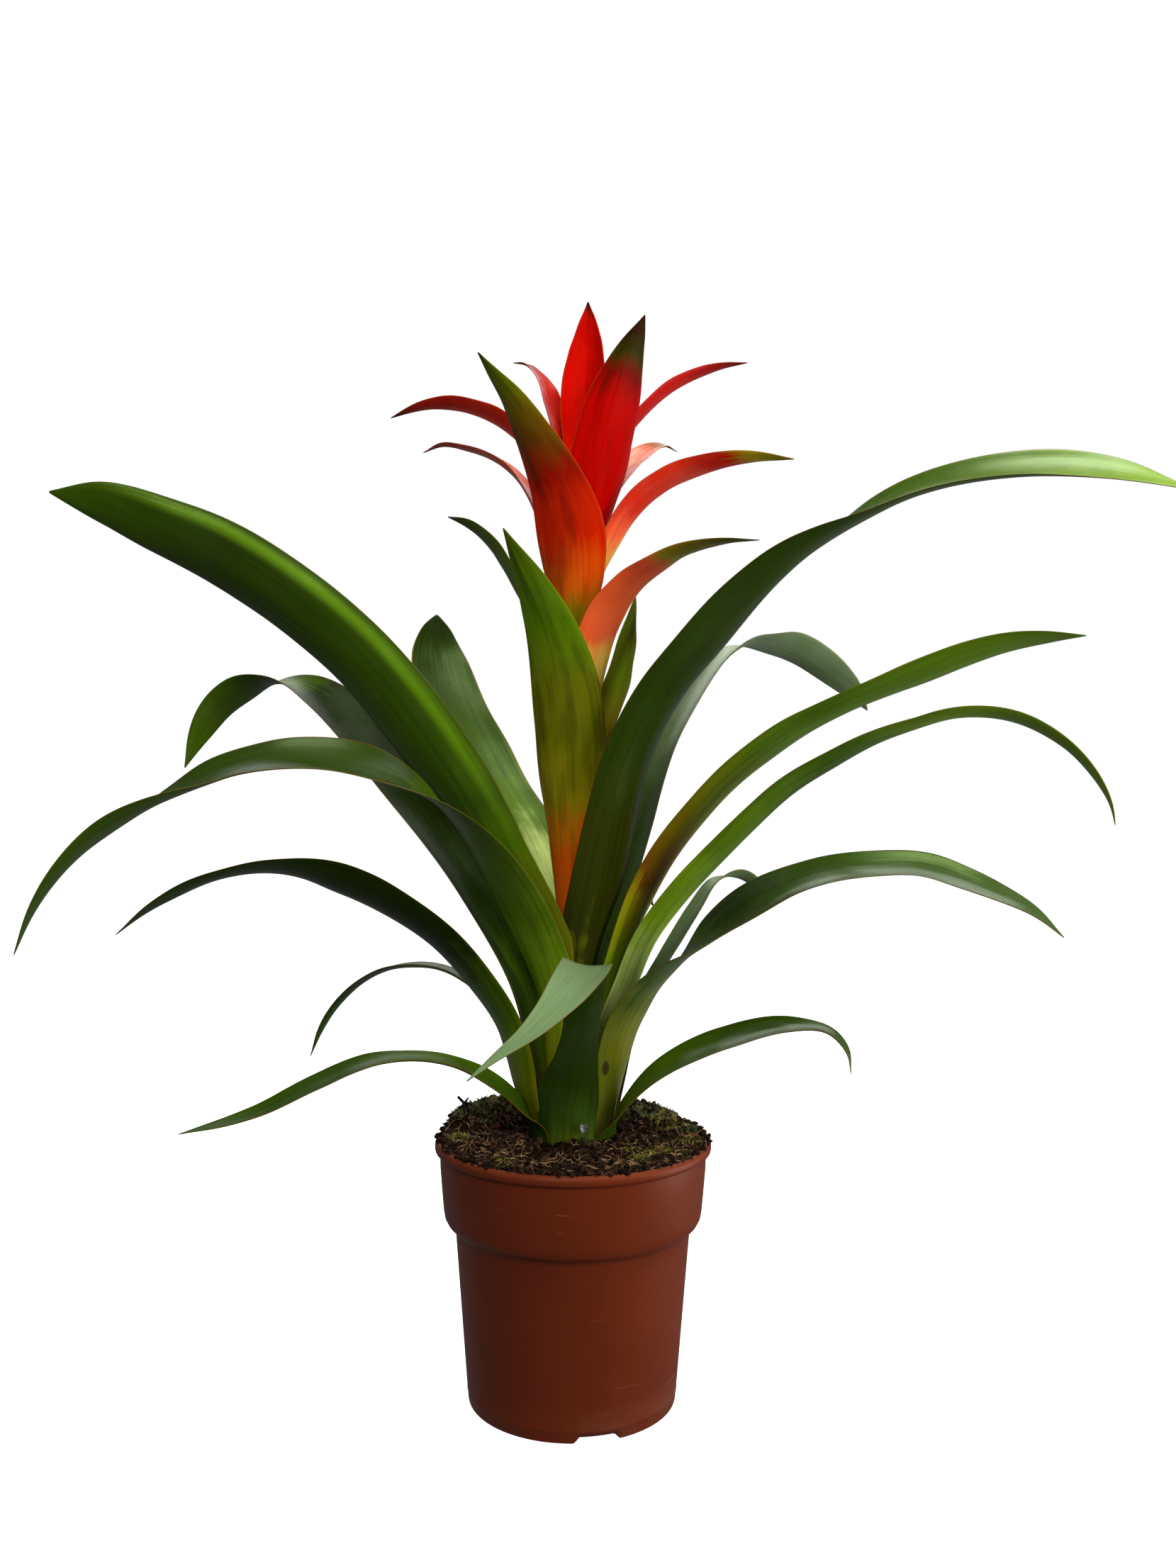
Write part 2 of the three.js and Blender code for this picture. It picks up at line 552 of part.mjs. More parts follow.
// Height of the soil's surface at a point, with mounds and a small repeatable unevenness.
function soilHeight(x, y) {
  const distance = Math.hypot(x, y);
  const share = (distance - SOIL_HOLE_RADIUS) / (COLLAR_TOP_RADIUS - SOIL_HOLE_RADIUS);
  let height = lerp(SOIL_HOLE_EDGE_HEIGHT, SOIL_RIM_HEIGHT, share);
  const inner = smoothstep(distance, SOIL_HOLE_RADIUS, SOIL_HOLE_RADIUS + 8);
  const uneven = 0.9 * Math.sin(0.31 * x + 1.3) * Math.cos(0.27 * y) + 0.6 * Math.sin(0.19 * (x - 2 * y));
  for (const [azimuth, reach, rise, spread] of SOIL_MOUNDS) {
    const top = fromAxis(reach, azimuth, 0);
    height += rise * Math.exp(-((x - top.x) ** 2 + (y - top.y) ** 2) / (2 * spread ** 2));
  }
  return height + uneven * inner;
}

function soilGeometry() {
  const wall = POT_WALL + GAP;
  const floor = BASE_UNDERSIDE + POT_WALL + GAP;
  const rings = [50, 44, 38, 32, 26];
  const outer = COLLAR_TOP_RADIUS - wall - 0.3;
  const profile = [
    [0, floor],
    [FOOT_RADIUS - wall, floor],
    [BODY_TOP_RADIUS - wall - 0.1, BODY_TOP + 1.3],
    [COLLAR_BOTTOM_RADIUS - wall - 1.2, COLLAR_BOTTOM + 0.8],
    [COLLAR_BOTTOM_RADIUS - wall - 0.2, COLLAR_BOTTOM + 3.2],
    [outer, SOIL_RIM_HEIGHT - 2],
    ...rings.map((radius) => [radius, SOIL_RIM_HEIGHT]),
    [SOIL_HOLE_RADIUS, SOIL_HOLE_EDGE_HEIGHT],
    [SOIL_HOLE_RADIUS, SOIL_HOLE_FLOOR],
    [0, SOIL_HOLE_FLOOR],
  ];
  const geometry = lathe(profile, SOIL_SEGMENTS);
  const position = geometry.getAttribute("position");
  for (let i = 0; i < position.count; i += 1) {
    if (position.getZ(i) < SOIL_RIM_HEIGHT - 1) continue;
    position.setZ(i, soilHeight(position.getX(i), position.getY(i)));
  }
  return geometryOf(solidOf(geometry));
}

function stemGeometry() {
  const lowestShell = shellRadius(SHELLS - 1) - LEAF_THICKNESS / 2 - GAP;
  const highestShell = shellRadius(0) - LEAF_THICKNESS / 2 - GAP;
  const profile = [
    [0, ROOTSTOCK_BOTTOM],
    [ROOTSTOCK_RADIUS - 0.6, ROOTSTOCK_BOTTOM],
    [lowestShell + 0.2, LOWEST_BASE - 0.6],
    [highestShell, ROOTSTOCK_TOP],
    [stalkRadius(ROOTSTOCK_TOP + 8), ROOTSTOCK_TOP + 8],
    [stalkRadius(220), 220],
    [stalkRadius(300), 300],
    [stalkRadius(STALK_TOP - 3), STALK_TOP - 3],
    [STALK_RADIUS_HIGH * 0.6, STALK_TOP - 0.6],
    [0, STALK_TOP],
  ];
  return lathe(profile, STEM_SEGMENTS);
}

const group = new THREE.Group();
group.name = "guzmania_in_pot";

function addNode(name, geometry, colour, roughness) {
  const material = new THREE.MeshStandardMaterial({ color: colour, roughness, metalness: 0 });
  const mesh = new THREE.Mesh(geometry, material);
  mesh.name = name;
  group.add(mesh);
}

addNode("pot", potGeometry(), "#7a3a1e", 0.6);
addNode("soil", soilGeometry(), "#2b1d14", 1);
addNode("stem", stemGeometry(), "#6f8f3a", 0.7);
for (const leaf of LEAVES) addNode(leaf.name, leafGeometry(leaf), "#2f5a1c", 0.35);
for (const bract of BRACTS) {
  const colour = bract.base > 320 ? "#c81e10" : "#6d7a1c";
  addNode(bract.name, bractGeometry(bract), colour, 0.4);
}

export default group;
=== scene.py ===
"""Guzmania bromeliad in a nursery pot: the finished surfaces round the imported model, in metres."""

import json
import math
import random

import bmesh
import bpy
from mathutils import Matrix, Quaternion, Vector, noise


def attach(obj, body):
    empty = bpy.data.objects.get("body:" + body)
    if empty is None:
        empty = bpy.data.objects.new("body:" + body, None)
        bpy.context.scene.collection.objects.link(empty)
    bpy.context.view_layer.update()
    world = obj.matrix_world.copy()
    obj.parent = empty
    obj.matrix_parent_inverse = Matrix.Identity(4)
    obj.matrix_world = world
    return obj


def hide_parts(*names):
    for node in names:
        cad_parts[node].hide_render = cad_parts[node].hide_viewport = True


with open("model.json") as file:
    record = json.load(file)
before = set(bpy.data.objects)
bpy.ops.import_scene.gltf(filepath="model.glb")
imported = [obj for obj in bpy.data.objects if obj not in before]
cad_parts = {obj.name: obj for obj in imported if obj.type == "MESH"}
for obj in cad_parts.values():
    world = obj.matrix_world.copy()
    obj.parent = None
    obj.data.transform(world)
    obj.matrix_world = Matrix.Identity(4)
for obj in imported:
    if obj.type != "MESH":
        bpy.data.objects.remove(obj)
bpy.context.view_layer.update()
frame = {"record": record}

# Tables of the pot, soil and plant hold millimetres.
MM = 0.001

# Pot, as radius and height
LIP_RADIUS = 60
COLLAR_TOP_RADIUS = 58
COLLAR_BOTTOM_RADIUS = 56
BODY_TOP_RADIUS = 51
FOOT_RADIUS = 45
POT_HEIGHT = 112
LIP_HEIGHT = 4.3
COLLAR_BOTTOM = 80.5
BODY_TOP = 75
POT_WALL = 1.4
FOOT_RING_WIDTH = 2.7
BASE_UNDERSIDE = 3
NOTCH_AZIMUTHS = (-76, 44, 164)
NOTCH_WIDTH = 19.6
NOTCH_DEPTH = 2.9
NOTCH_SLOPE = 2.4
DRAIN_HOLES = 6
DRAIN_HOLE_RADIUS = 3.5
DRAIN_CIRCLE_RADIUS = 31

# Sides of the turned pieces round the axis, and rings of the soil's open surface
POT_SIDES = 240
SOIL_SIDES = 380
SOIL_RINGS = 70
STEM_SIDES = 48
DRILL_SIDES = 24

# Soil and the plant's own hole in it
SOIL_RIM_HEIGHT = 108.5
SOIL_HOLE_RADIUS = 21
SOIL_HOLE_FLOOR = 96
SOIL_HOLE_EDGE_HEIGHT = 113
SOIL_GAP = 0.3

# Loose soil on top: its hole, how much fuller it is towards the rim, and where it runs up to the lip
LOOSE_HOLE_RADIUS = 20.4
LOOSE_EDGE_RADIUS = 55.8
RIM_FILL = 3.2
RIM_FILL_FROM = 36
RIM_FILL_TO = 53
CALM_FROM = 52
LIP_SLOPE_FROM = 56
LIP_SLOPE = 3

# Mounds of the packed soil and heaps of the loose soil, as azimuth, reach, rise and spread
SOIL_MOUNDS = (
    (167, 47, 7.5, 9), (138, 42, 5, 8), (50, 38, 4.5, 7), (18, 38, 1.2, 8), (110, 40, 2.5, 9),
    (320, 40, 1.8, 8), (205, 44, 1.6, 8),
)
LOOSE_HEAPS = (
    (-80, 25, 3, 7), (-20, 25, 2, 7), (200, 25, 2, 7), (34, 42, 6, 9), (144, 47, 4, 9), (165, 48, 2, 8),
)

# Moss clumps as x, y and reach, bark bits as x and y, and twigs as places and relative thickness
GREY_MOSS = ((-45, 12, 11), (-38, 29, 11), (-30, 40, 8), (35, 24, 12), (22, 41, 8), (49, 8, 6))
GOLDEN_MOSS = (
    (26, -33, 8), (49, -10, 7), (42, 12, 8), (-50, -12, 5), (-28, -42, 5), (36, -26, 6), (30, 34, 6),
)
BARK_PLACES = ((17, -33), (18.5, -31), (16.5, -31.5), (-40, -14))
DRY_SKIN_PLACE = (5, -21.6, 121)
DRY_SKIN_RADIUS = 2.2
TWIG_THICKNESS = 1.6
TWIGS = (
    (((-46.0, 20, 114), 1.2), ((-48.2, 20, 119), 1.0), ((-50.4, 20, 122), 0.9), ((-52.4, 19.6, 124.2), 0.8)),
    (((-49.6, 20.2, 121), 0.8), ((-47.6, 20.6, 123.6), 0.4)),
    (((45.6, 30, 108), 0.8), ((44.8, 30, 113), 0.6), ((44.0, 30, 117), 0.3)),
    (((-54.5, 8, 112), 0.7), ((-56.6, 7, 114.6), 0.5), ((-57.8, 6.4, 115.6), 0.3)),
)

# Loose bits: seeds of their places and roughness, and how far threads and moss reach and how dense they are
PLACES_SEED = 29
ROUGHNESS_SEED = 32
THREAD_REACH = 58
THREAD_STEPS = 6
MOSS_REACH = 57.5
SPRIGS_PER_SQUARE = 4

# Rootstock, flower stalk and the shells that the leaf bases stand in
ROOTSTOCK_RADIUS = 19.4
ROOTSTOCK_TOP = 134
STALK_RADIUS_LOW = 5.4
STALK_RADIUS_HIGH = 3.6
STALK_TOP = 402
INNER_SHELL_RADIUS = 6.8
SHELL_PITCH = 1.6
SHELLS = 9
LOWEST_BASE = 98.5
BASE_STEP = 4.5
FOOT_RISE = 6
FOOT_LEAN = 0.05
BRACT_GAP = 0.3

# Leaves and bracts: thickness in the middle of the base, at the tip, and as a share at margin and point
LEAF_THICKNESS = 0.95
BRACT_THICKNESS = 0.8
TIP_THICKNESS = 0.7
MARGIN_SHARE = 0.45
POINT_SHARE = 0.6
TIP_WIDTH = 0.5

# Columns of their meshes, and the ripples of their margins: waves a blade, heights and the turn of a wave
BLADE_COLUMNS = 14
RIPPLE_WAVES = (3, 5.5)
RIPPLE_HEIGHTS = (0.2, 0.45)
FULL_TURN = 6.283

# Camera, worked out from the pot's ellipses in the photo: millimetres of sensor, pixels, metres and radians
SENSOR = 36
FOCAL_PIXELS = 1843
PHOTO_HEIGHT_PIXELS = 2212
CAMERA_PLACE = (0.0056, -0.570, 0.2665)
CAMERA_DIP = 0.0015
CAMERA_ROLL = 0.0054

# Share of the full width at each share of the length
STRAP = ((0, 0.8), (0.15, 0.9), (0.35, 1), (0.6, 0.96), (0.8, 0.76), (0.92, 0.45), (1, 0.01))
BLUNT = ((0, 0.8), (0.15, 0.9), (0.4, 1), (0.75, 0.98), (0.9, 0.78), (0.97, 0.42), (1, 0.02))
PADDLE = ((0, 0.8), (0.15, 0.9), (0.4, 1), (0.74, 0.96), (0.87, 0.78), (0.94, 0.54), (1, 0.02))
FOLDED = (
    (0, 1), (0.12, 1.04), (0.18, 0.92), (0.25, 0.66), (0.33, 0.53), (0.42, 0.58), (0.52, 0.7), (0.62, 0.63),
    (0.75, 0.41), (0.9, 0.15), (1, 0.01),
)
TAPER = ((0, 0.7), (0.15, 0.95), (0.32, 1), (0.5, 0.84), (0.7, 0.58), (0.86, 0.32), (1, 0.01))
LANCE = ((0, 0.7), (0.15, 0.9), (0.35, 1), (0.55, 0.95), (0.72, 0.76), (0.88, 0.4), (1, 0.01))


def pigment(red, green, blue):
    """Linear colour of a surface from its values on a screen, 0 to 255."""
    parts = [part / 255 for part in (red, green, blue)]
    linear = [part / 12.92 if part < 0.04045 else ((part + 0.055) / 1.055) ** 2.4 for part in parts]
    return (*linear, 1.0)


NIGHT_GREEN = pigment(22, 34, 1)
DEEP_GREEN = pigment(36, 54, 2)
LEAF_GREEN = pigment(50, 74, 3)
FRESH_GREEN = pigment(76, 104, 6)
GRASS_GREEN = pigment(96, 136, 8)
BRIGHT_GREEN = pigment(120, 152, 18)
GREY_GREEN = pigment(92, 112, 72)
SAGE_GREEN = pigment(104, 126, 84)
PALE_GREEN = pigment(186, 200, 112)
DARK_OLIVE = pigment(46, 50, 3)
OLIVE = pigment(104, 108, 8)
YELLOW_OLIVE = pigment(150, 136, 12)
BRONZE = pigment(112, 66, 10)
YELLOW = pigment(248, 210, 84)
ORANGE = pigment(214, 92, 8)
CORAL = pigment(250, 100, 48)
FLAME = pigment(206, 36, 2)
SCARLET = pigment(182, 5, 1)
CRIMSON = pigment(198, 8, 1)
BRICK = pigment(168, 20, 3)
DUSTY_RED = pigment(222, 84, 50)
WINE = pigment(120, 12, 5)
DARK_TIP = pigment(40, 24, 10)
WAX = pigment(206, 214, 196)
LINE_SHADE = (0.45, 0.5, 0.4, 1)
BLOTCH_SHADE = (0.35, 0.4, 0.4, 1)

# What most leaves and bracts share. The channel is how far the section bends at base and tip, in degrees, and
# over the spread the blade opens from the arc round the axis to its channel.
LEAF_FORM = {"shape": STRAP, "channel": (60, 50), "thickness": LEAF_THICKNESS, "spread": 22, "rows": 76}
BRACT_FORM = {"shape": LANCE, "channel": (60, 55), "thickness": BRACT_THICKNESS, "spread": 28, "rows": 44}

# One entry a leaf: where it points, the shell it stands in, its width, how far it clasps, its roll by share
# of the length, and its line as distance from the axis, height and degrees turned
LEAVES = {
    "leaf_right_tallest": {
        "azimuth": -28, "shell": 0, "width": 34, "wrap": 150, "channel": (65, 65), "shape": PADDLE,
        "roll": (
            (0, 0), (0.2, -10), (0.36, -5), (0.5, -8), (0.6, -2), (0.66, 10), (0.72, 25), (0.8, 30),
            (0.9, 34), (1, 24),
        ),
        "spine": (
            (7.5, 160, -20), (8.6, 188, -18), (17.5, 221.5, -15), (24, 249, -12), (32, 275.5, -10),
            (47, 301.5, -8), (64, 320.5, -6), (83, 340, -4), (102.5, 355, -3), (124.5, 367, -1), (145, 376.5),
            (167, 381), (194, 381.5), (220, 377.5), (246, 369),
        ),
    },
    "leaf_left_tallest": {
        "azimuth": 198, "shell": 1, "width": 35, "wrap": 130, "channel": (90, 80), "shape": PADDLE,
        "roll": ((0, 0), (0.25, 18), (0.38, 40), (0.5, 56), (1, 66)),
        "spine": (
            (8.9, 165, 1), (11.5, 186, 3), (21, 210, 2.5), (37.5, 236.5), (52, 260.5), (66, 281.5, -2),
            (80, 300.5, -4), (95.5, 318.5, -6), (113, 334, -7), (133.5, 349, -8), (153.5, 361, -8),
            (176, 371, -8), (196.5, 379.5, -8), (218, 383.5, -8),
        ),
    },
    "leaf_back_left_upright": {
        "azimuth": 120, "shell": 2, "width": 42, "wrap": 72, "channel": (50, 45), "shape": BLUNT,
        "spine": (
            (10.4, 150, -4), (14.5, 182, -4), (23, 206, -2), (39, 227, 1), (58, 246, 2), (79, 265, 3),
            (99, 285, 3.5), (119, 303, 3), (136, 321, 1.8), (147, 338, 0.8), (152, 356),
        ),
    },
    "leaf_back_right_arching": {
        "azimuth": 38, "shell": 2, "width": 27, "wrap": 80, "channel": (60, 45), "shape": PADDLE,
        "roll": ((0, 0), (0.4, -14), (0.6, -8), (0.72, -8), (0.8, -22), (1, -24)),
        "spine": (
            (10.4, 160), (14, 180), (20.5, 198), (28, 215), (34.5, 231), (41, 248), (47, 266), (54, 283),
            (63.5, 298.5), (74, 312), (86, 324), (101, 332.5), (119, 334.5), (133, 333.5), (149.5, 329.5),
            (167, 322.5), (182.5, 314), (194, 305),
        ),
    },
    "leaf_right_upper": {
        "azimuth": 2, "shell": 3, "width": 31, "wrap": 110, "channel": (60, 45), "shape": PADDLE,
        "roll": ((0, 0), (0.2, -18), (0.3, -29), (0.55, -26), (0.7, -20), (0.82, -24), (1, -14)),
        "spine": (
            (12, 150, 2), (15.5, 170, 2), (21.5, 190, 1), (27.5, 206, 1), (34.5, 221.5), (43, 236),
            (55.5, 252), (69, 266.5), (84.5, 279), (101.5, 290.5), (118.5, 299.5, -2), (136.5, 307, -3),
            (152.5, 313.5, -4), (169.5, 320.5, -5), (186, 326, -6), (203, 328.5, -7), (215.5, 329, -8),
        ),
    },
    "leaf_front_left_arching": {
        "azimuth": 222, "shell": 3, "width": 32, "wrap": 110, "channel": (55, 45),
        "roll": (
            (0, 0), (0.25, 4), (0.33, 0), (0.41, -12), (0.48, -26), (0.55, -34), (0.62, -26), (0.68, -16),
            (0.73, -8), (0.78, 6), (0.86, 28), (1, 30),
        ),
        "spine": (
            (12, 150, 4), (14.5, 172, 4), (26, 200, 3), (43, 226, 2), (61.5, 247.5), (80, 262, -1),
            (102, 271, -2), (122, 274, -3), (140, 273, -4), (157, 269, -6), (171.5, 262, -7),
            (186.5, 255, -7), (203, 245, -7), (215, 233, -7), (223, 221, -7), (228.5, 207, -7),
        ),
    },
    "leaf_left_back": {
        "azimuth": 168, "shell": 4, "width": 34, "wrap": 84,
        "roll": ((0, 0), (0.35, -16), (0.6, -34), (0.72, -24), (0.8, 0), (0.86, 26), (1, 38)),
        "spine": (
            (15.2, 131), (19.2, 150), (27, 181), (45, 215), (62, 241.5), (82, 268), (101.5, 290.5),
            (117, 303), (129.5, 309.5), (141, 311), (155, 308), (169, 300), (179, 287), (186.5, 272),
        ),
    },
    "leaf_right_middle": {
        "azimuth": -10, "shell": 4, "width": 27, "wrap": 84, "channel": (70, 50),
        "roll": ((0, 0), (0.2, -20), (0.35, -20), (0.6, -14), (0.72, -6), (1, -8)),
        "spine": (
            (14, 140, 2), (19, 163, 2), (25.5, 178.5, 1), (33.5, 197.5, 1), (48, 217.5), (63.5, 234.5),
            (78.5, 249.5), (94.5, 264), (110.5, 274), (127.5, 283.5), (145, 290), (160, 294, -2),
            (175, 294, -2), (187, 291, -2), (199, 284.5, -2), (208, 277, -2), (216, 267, -2),
            (220.5, 258, -2), (222, 250, -2),
        ),
    },
    "leaf_back_middle": {
        "azimuth": 88, "shell": 4, "width": 26, "wrap": 72, "channel": (65, 50),
        "spine": (
            (14, 140), (18, 165), (28, 190), (45, 215), (66, 235), (90, 244), (112, 239), (126, 226),
            (131, 212),
        ),
    },
    "leaf_left_back_small": {
        "azimuth": 156, "shell": 5, "width": 14, "wrap": 66, "channel": (65, 50),
        "roll": ((0, 0), (0.2, 10), (0.45, 8), (0.6, 0), (1, -4)),
        "spine": (
            (15.4, 122), (18, 136), (25, 151), (37.5, 164), (52, 174.5), (65.5, 180), (80, 181), (96.5, 178),
            (111, 170.5), (123, 160), (132.5, 147.5), (139, 134),
        ),
    },
    "leaf_right_back_small": {
        "azimuth": 26, "shell": 7, "width": 16, "wrap": 56,
        "roll": ((0, 0), (0.4, -6), (0.78, -4), (0.88, -28), (1, -30)),
        "spine": (
            (18.6, 116), (23, 134, 2), (29, 156, 1), (39, 176), (52, 194.5), (62.5, 209.5), (72.5, 221.5),
            (85, 223.5), (94, 219), (100, 209),
        ),
    },
    "leaf_left_middle": {
        "azimuth": 189, "shell": 6, "width": 30, "wrap": 60, "channel": (80, 50),
        "roll": ((0, 0), (0.2, 20), (0.4, 26), (0.6, 32), (0.72, 14), (0.8, 6), (0.9, 14), (1, 8)),
        "spine": (
            (17.5, 118, 2), (23.5, 131, 5), (27, 146, 3), (31.5, 160), (43, 177.5), (60.5, 197.5), (86, 215),
            (103, 222.5), (119, 227), (134, 228), (149, 225.5), (164, 220), (180, 211.5), (192, 202),
        ),
    },
    "leaf_front_right_middle": {
        "azimuth": -24, "shell": 6, "width": 30, "wrap": 96, "channel": (70, 50),
        "roll": (
            (0, 0), (0.12, -8), (0.22, -14), (0.28, -8), (0.34, 2), (0.42, 26), (0.5, 34), (0.6, 26),
            (0.7, 20), (0.85, 22), (1, 14),
        ),
        "spine": (
            (17, 121, -2), (19.6, 135, -2), (22.5, 148, -1), (26, 160.5), (35, 175.5), (46, 187), (62.5, 202),
            (79, 214.5, 1), (96, 223.5, 2), (113.5, 229.5, 2), (131, 232, 3), (148, 232, 4),
            (161.5, 228.5, 4), (175.5, 223.5, 4), (190.5, 216.5, 4), (201, 207.5, 4),
        ),
    },
    "leaf_back_right_low": {
        "azimuth": 70, "shell": 6, "width": 20, "wrap": 56,
        "spine": (
            (17, 121), (21, 142), (30, 165), (45, 190), (64, 207), (84, 213), (99, 211), (108, 203, -1.5),
        ),
    },
    "leaf_front_folded": {
        "azimuth": 270, "shell": 7, "width": 30, "wrap": 84, "channel": (50, 40), "shape": FOLDED,
        "roll": ((0, 0), (0.4, 0), (0.62, -12), (1, -20)),
        "spine": (
            (18.4, 116, -12), (20, 130, -9), (23.5, 148, 2.5), (27.5, 163, 7), (32.5, 176, 8), (39, 188, 8),
            (48, 193, 7), (60, 190.5, 2.5), (80, 182, -4.5), (96, 174.5, -9.5), (110, 168.5, -14),
            (123, 162.5, -17),
        ),
    },
    "leaf_left_lowest": {
        "azimuth": 218, "shell": 8, "width": 17, "wrap": 48,
        "roll": ((0, 0), (0.09, -2), (0.18, -32), (0.28, -26), (0.38, -10), (0.5, -3), (0.7, -11), (1, -8)),
        "spine": (
            (19.6, 116), (22.3, 122.5, -1), (37, 137, -5), (60, 149.5, -10), (86, 151.5, -14),
            (111, 143, -17), (134.5, 132.5, -18), (165, 127, -18),
        ),
    },
    "leaf_right_lowest": {
        "azimuth": -34, "shell": 8, "width": 20, "wrap": 50,
        "roll": ((0, 0), (0.09, 2), (0.18, 26), (0.4, 28), (0.6, 27), (0.76, 14), (0.88, 0), (1, 0)),
        "spine": (
            (19.6, 115), (22.3, 122, 1), (33.5, 136.5, 4), (50, 149.5, 8), (73.5, 160.5, 11), (95, 166, 13),
            (110.5, 165, 14), (118.5, 157.5, 14), (120, 148.5, 14),
        ),
    },
    "leaf_back_lowest": {
        "azimuth": 98, "shell": 8, "width": 17, "wrap": 56,
        "spine": ((19.8, 114), (22.5, 121), (38, 137), (58, 147), (80, 148), (100, 140), (114, 128)),
    },
}

# One entry a bract, which starts on the stalk at its base height and clasps it
BRACTS = {
    "bract_front_lowest": {
        "azimuth": 262, "base": 190, "width": 34.5, "wrap": 140,
        "spine": (
            (7, 204), (10, 230), (12.5, 251), (16, 270), (20, 288), (25, 307, -4), (33.5, 326, -9),
            (45, 342, -13), (55, 355, -16), (64.5, 366, -18),
        ),
    },
    "bract_back_lowest": {
        "azimuth": 95, "base": 226, "width": 27, "wrap": 130,
        "spine": ((6.5, 240), (9.5, 258), (14, 278, 5), (20.5, 298, 7), (29, 317, 5), (40, 333), (52, 345)),
    },
    "bract_right_back_low": {
        "azimuth": 30, "base": 258, "width": 26, "wrap": 130,
        "spine": ((7.5, 268), (12.5, 281), (18, 294), (23, 308), (27, 325), (29, 339), (30.5, 350)),
    },
    "bract_back_left_low": {
        "azimuth": 112, "base": 268, "width": 22, "wrap": 120,
        "spine": ((7, 280), (12, 296), (19, 314), (29, 331), (41, 346), (54, 357)),
    },
    "bract_right_low": {
        "azimuth": -30, "base": 284, "width": 30, "wrap": 150, "channel": (55, 50),
        "roll": ((0, 0), (0.4, -6), (0.55, 0), (0.7, 2), (1, 0)),
        "spine": (
            (7.5, 294), (10.5, 307), (13, 319), (16, 331), (21, 341.5), (29, 350), (38, 355.5), (48, 360.5),
            (60, 363.5), (73, 365), (86, 364.5),
        ),
    },
    "bract_left_low": {
        "azimuth": 165, "base": 302, "width": 24, "wrap": 130,
        "roll": ((0, 0), (0.5, 20), (1, 26)),
        "spine": (
            (8, 313), (14, 328), (23, 343), (31, 357), (38, 368.5), (45, 376.5), (52.5, 382), (60, 385),
        ),
    },
    "bract_back_middle": {
        "azimuth": 82, "base": 318, "width": 23, "wrap": 130,
        "spine": ((6.5, 329), (10, 344), (15, 360), (22, 376), (32, 390), (44, 400), (56, 405)),
    },
    "bract_front_left": {
        "azimuth": 258, "base": 327, "width": 33, "wrap": 160, "channel": (60, 70), "shape": TAPER,
        "spine": (
            (7.5, 336, 4), (11, 347, 4), (14.5, 358, 4), (19, 370, 3), (26, 384, -3), (34.5, 396, -9),
            (43.5, 408, -14), (53, 419, -17), (61.5, 427.5, -20), (69, 435, -22),
        ),
    },
    "bract_right_middle": {
        "azimuth": -12, "base": 338, "width": 23, "wrap": 140,
        "roll": ((0, 0), (0.5, -12), (1, -14)),
        "spine": (
            (7, 347), (11.5, 358), (17, 369), (23, 380), (31, 389), (41, 395.5), (53, 400), (67, 403),
            (81, 404), (94, 403),
        ),
    },
    "bract_left_middle": {
        "azimuth": 160, "base": 339, "width": 20, "wrap": 140,
        "spine": (
            (7, 349), (11, 362), (15.5, 376.5), (21.5, 391), (29, 401.5), (40, 410), (53, 415.5), (66, 418.5),
            (75, 416),
        ),
    },
    "bract_front_right": {
        "azimuth": -50, "base": 354, "width": 36, "wrap": 160,
        "spine": (
            (8.5, 364), (12.5, 376), (16, 388), (20, 401), (23.5, 414), (28, 427), (33, 439), (38, 449),
            (43.5, 458.5),
        ),
    },
    "bract_back_right": {
        "azimuth": 54, "base": 364, "width": 16, "wrap": 120,
        "roll": ((0, 0), (0.6, 10), (1, 30)),
        "spine": (
            (7.5, 377), (16, 389), (27, 400.5), (37, 409.5), (46, 416), (54, 421.5), (62, 425.5), (71, 428),
            (82, 427.5),
        ),
    },
    "bract_left_top": {
        "azimuth": 172, "base": 373, "width": 20, "wrap": 130,
        "roll": ((0, 0), (0.5, 14), (1, 8)),
        "spine": (
            (7, 384), (11.5, 397), (17.5, 408), (26, 417), (36, 425), (47, 430), (58, 432.5), (71, 432),
            (84, 428),
        ),
    },
    "bract_right_top": {
        "azimuth": 12, "base": 379, "width": 20, "wrap": 130,
        "roll": ((0, 0), (0.5, -12), (1, -8)),
        "spine": (
            (7, 390), (12.5, 402), (19, 413.5), (26, 423.5), (34, 432.5), (43, 440.5), (54, 447), (66, 452),
            (78, 455),
        ),
    },
    "bract_back_left_top": {
        "azimuth": 140, "base": 386, "width": 15, "wrap": 110,
        "spine": (
            (6, 396), (8.5, 409), (11, 420), (14.5, 431), (18, 441), (23.5, 449), (30.5, 454.5), (38.5, 457),
        ),
    },
    "bract_top": {
        "azimuth": 72, "base": 393, "width": 24, "wrap": 130,
        "spine": ((6.3, 404), (8.8, 418), (11, 433), (13, 449), (14.5, 464), (14.5, 481)),
    },
}

GREEN_LEAF = ((0, OLIVE), (0.12, FRESH_GREEN), (0.3, LEAF_GREEN), (0.75, DEEP_GREEN), (1, DEEP_GREEN))
LOW_LEAF = (
    (0, NIGHT_GREEN), (0.08, DEEP_GREEN), (0.25, LEAF_GREEN), (0.4, FRESH_GREEN), (0.6, LEAF_GREEN),
    (1, LEAF_GREEN),
)
DEEP_LEAF = ((0, OLIVE), (0.14, FRESH_GREEN), (0.35, DEEP_GREEN), (0.8, DEEP_GREEN), (1, NIGHT_GREEN))
RED_BRACT = ((0, YELLOW), (0.14, ORANGE), (0.3, FLAME), (0.5, SCARLET), (0.9, SCARLET), (1, DARK_TIP))

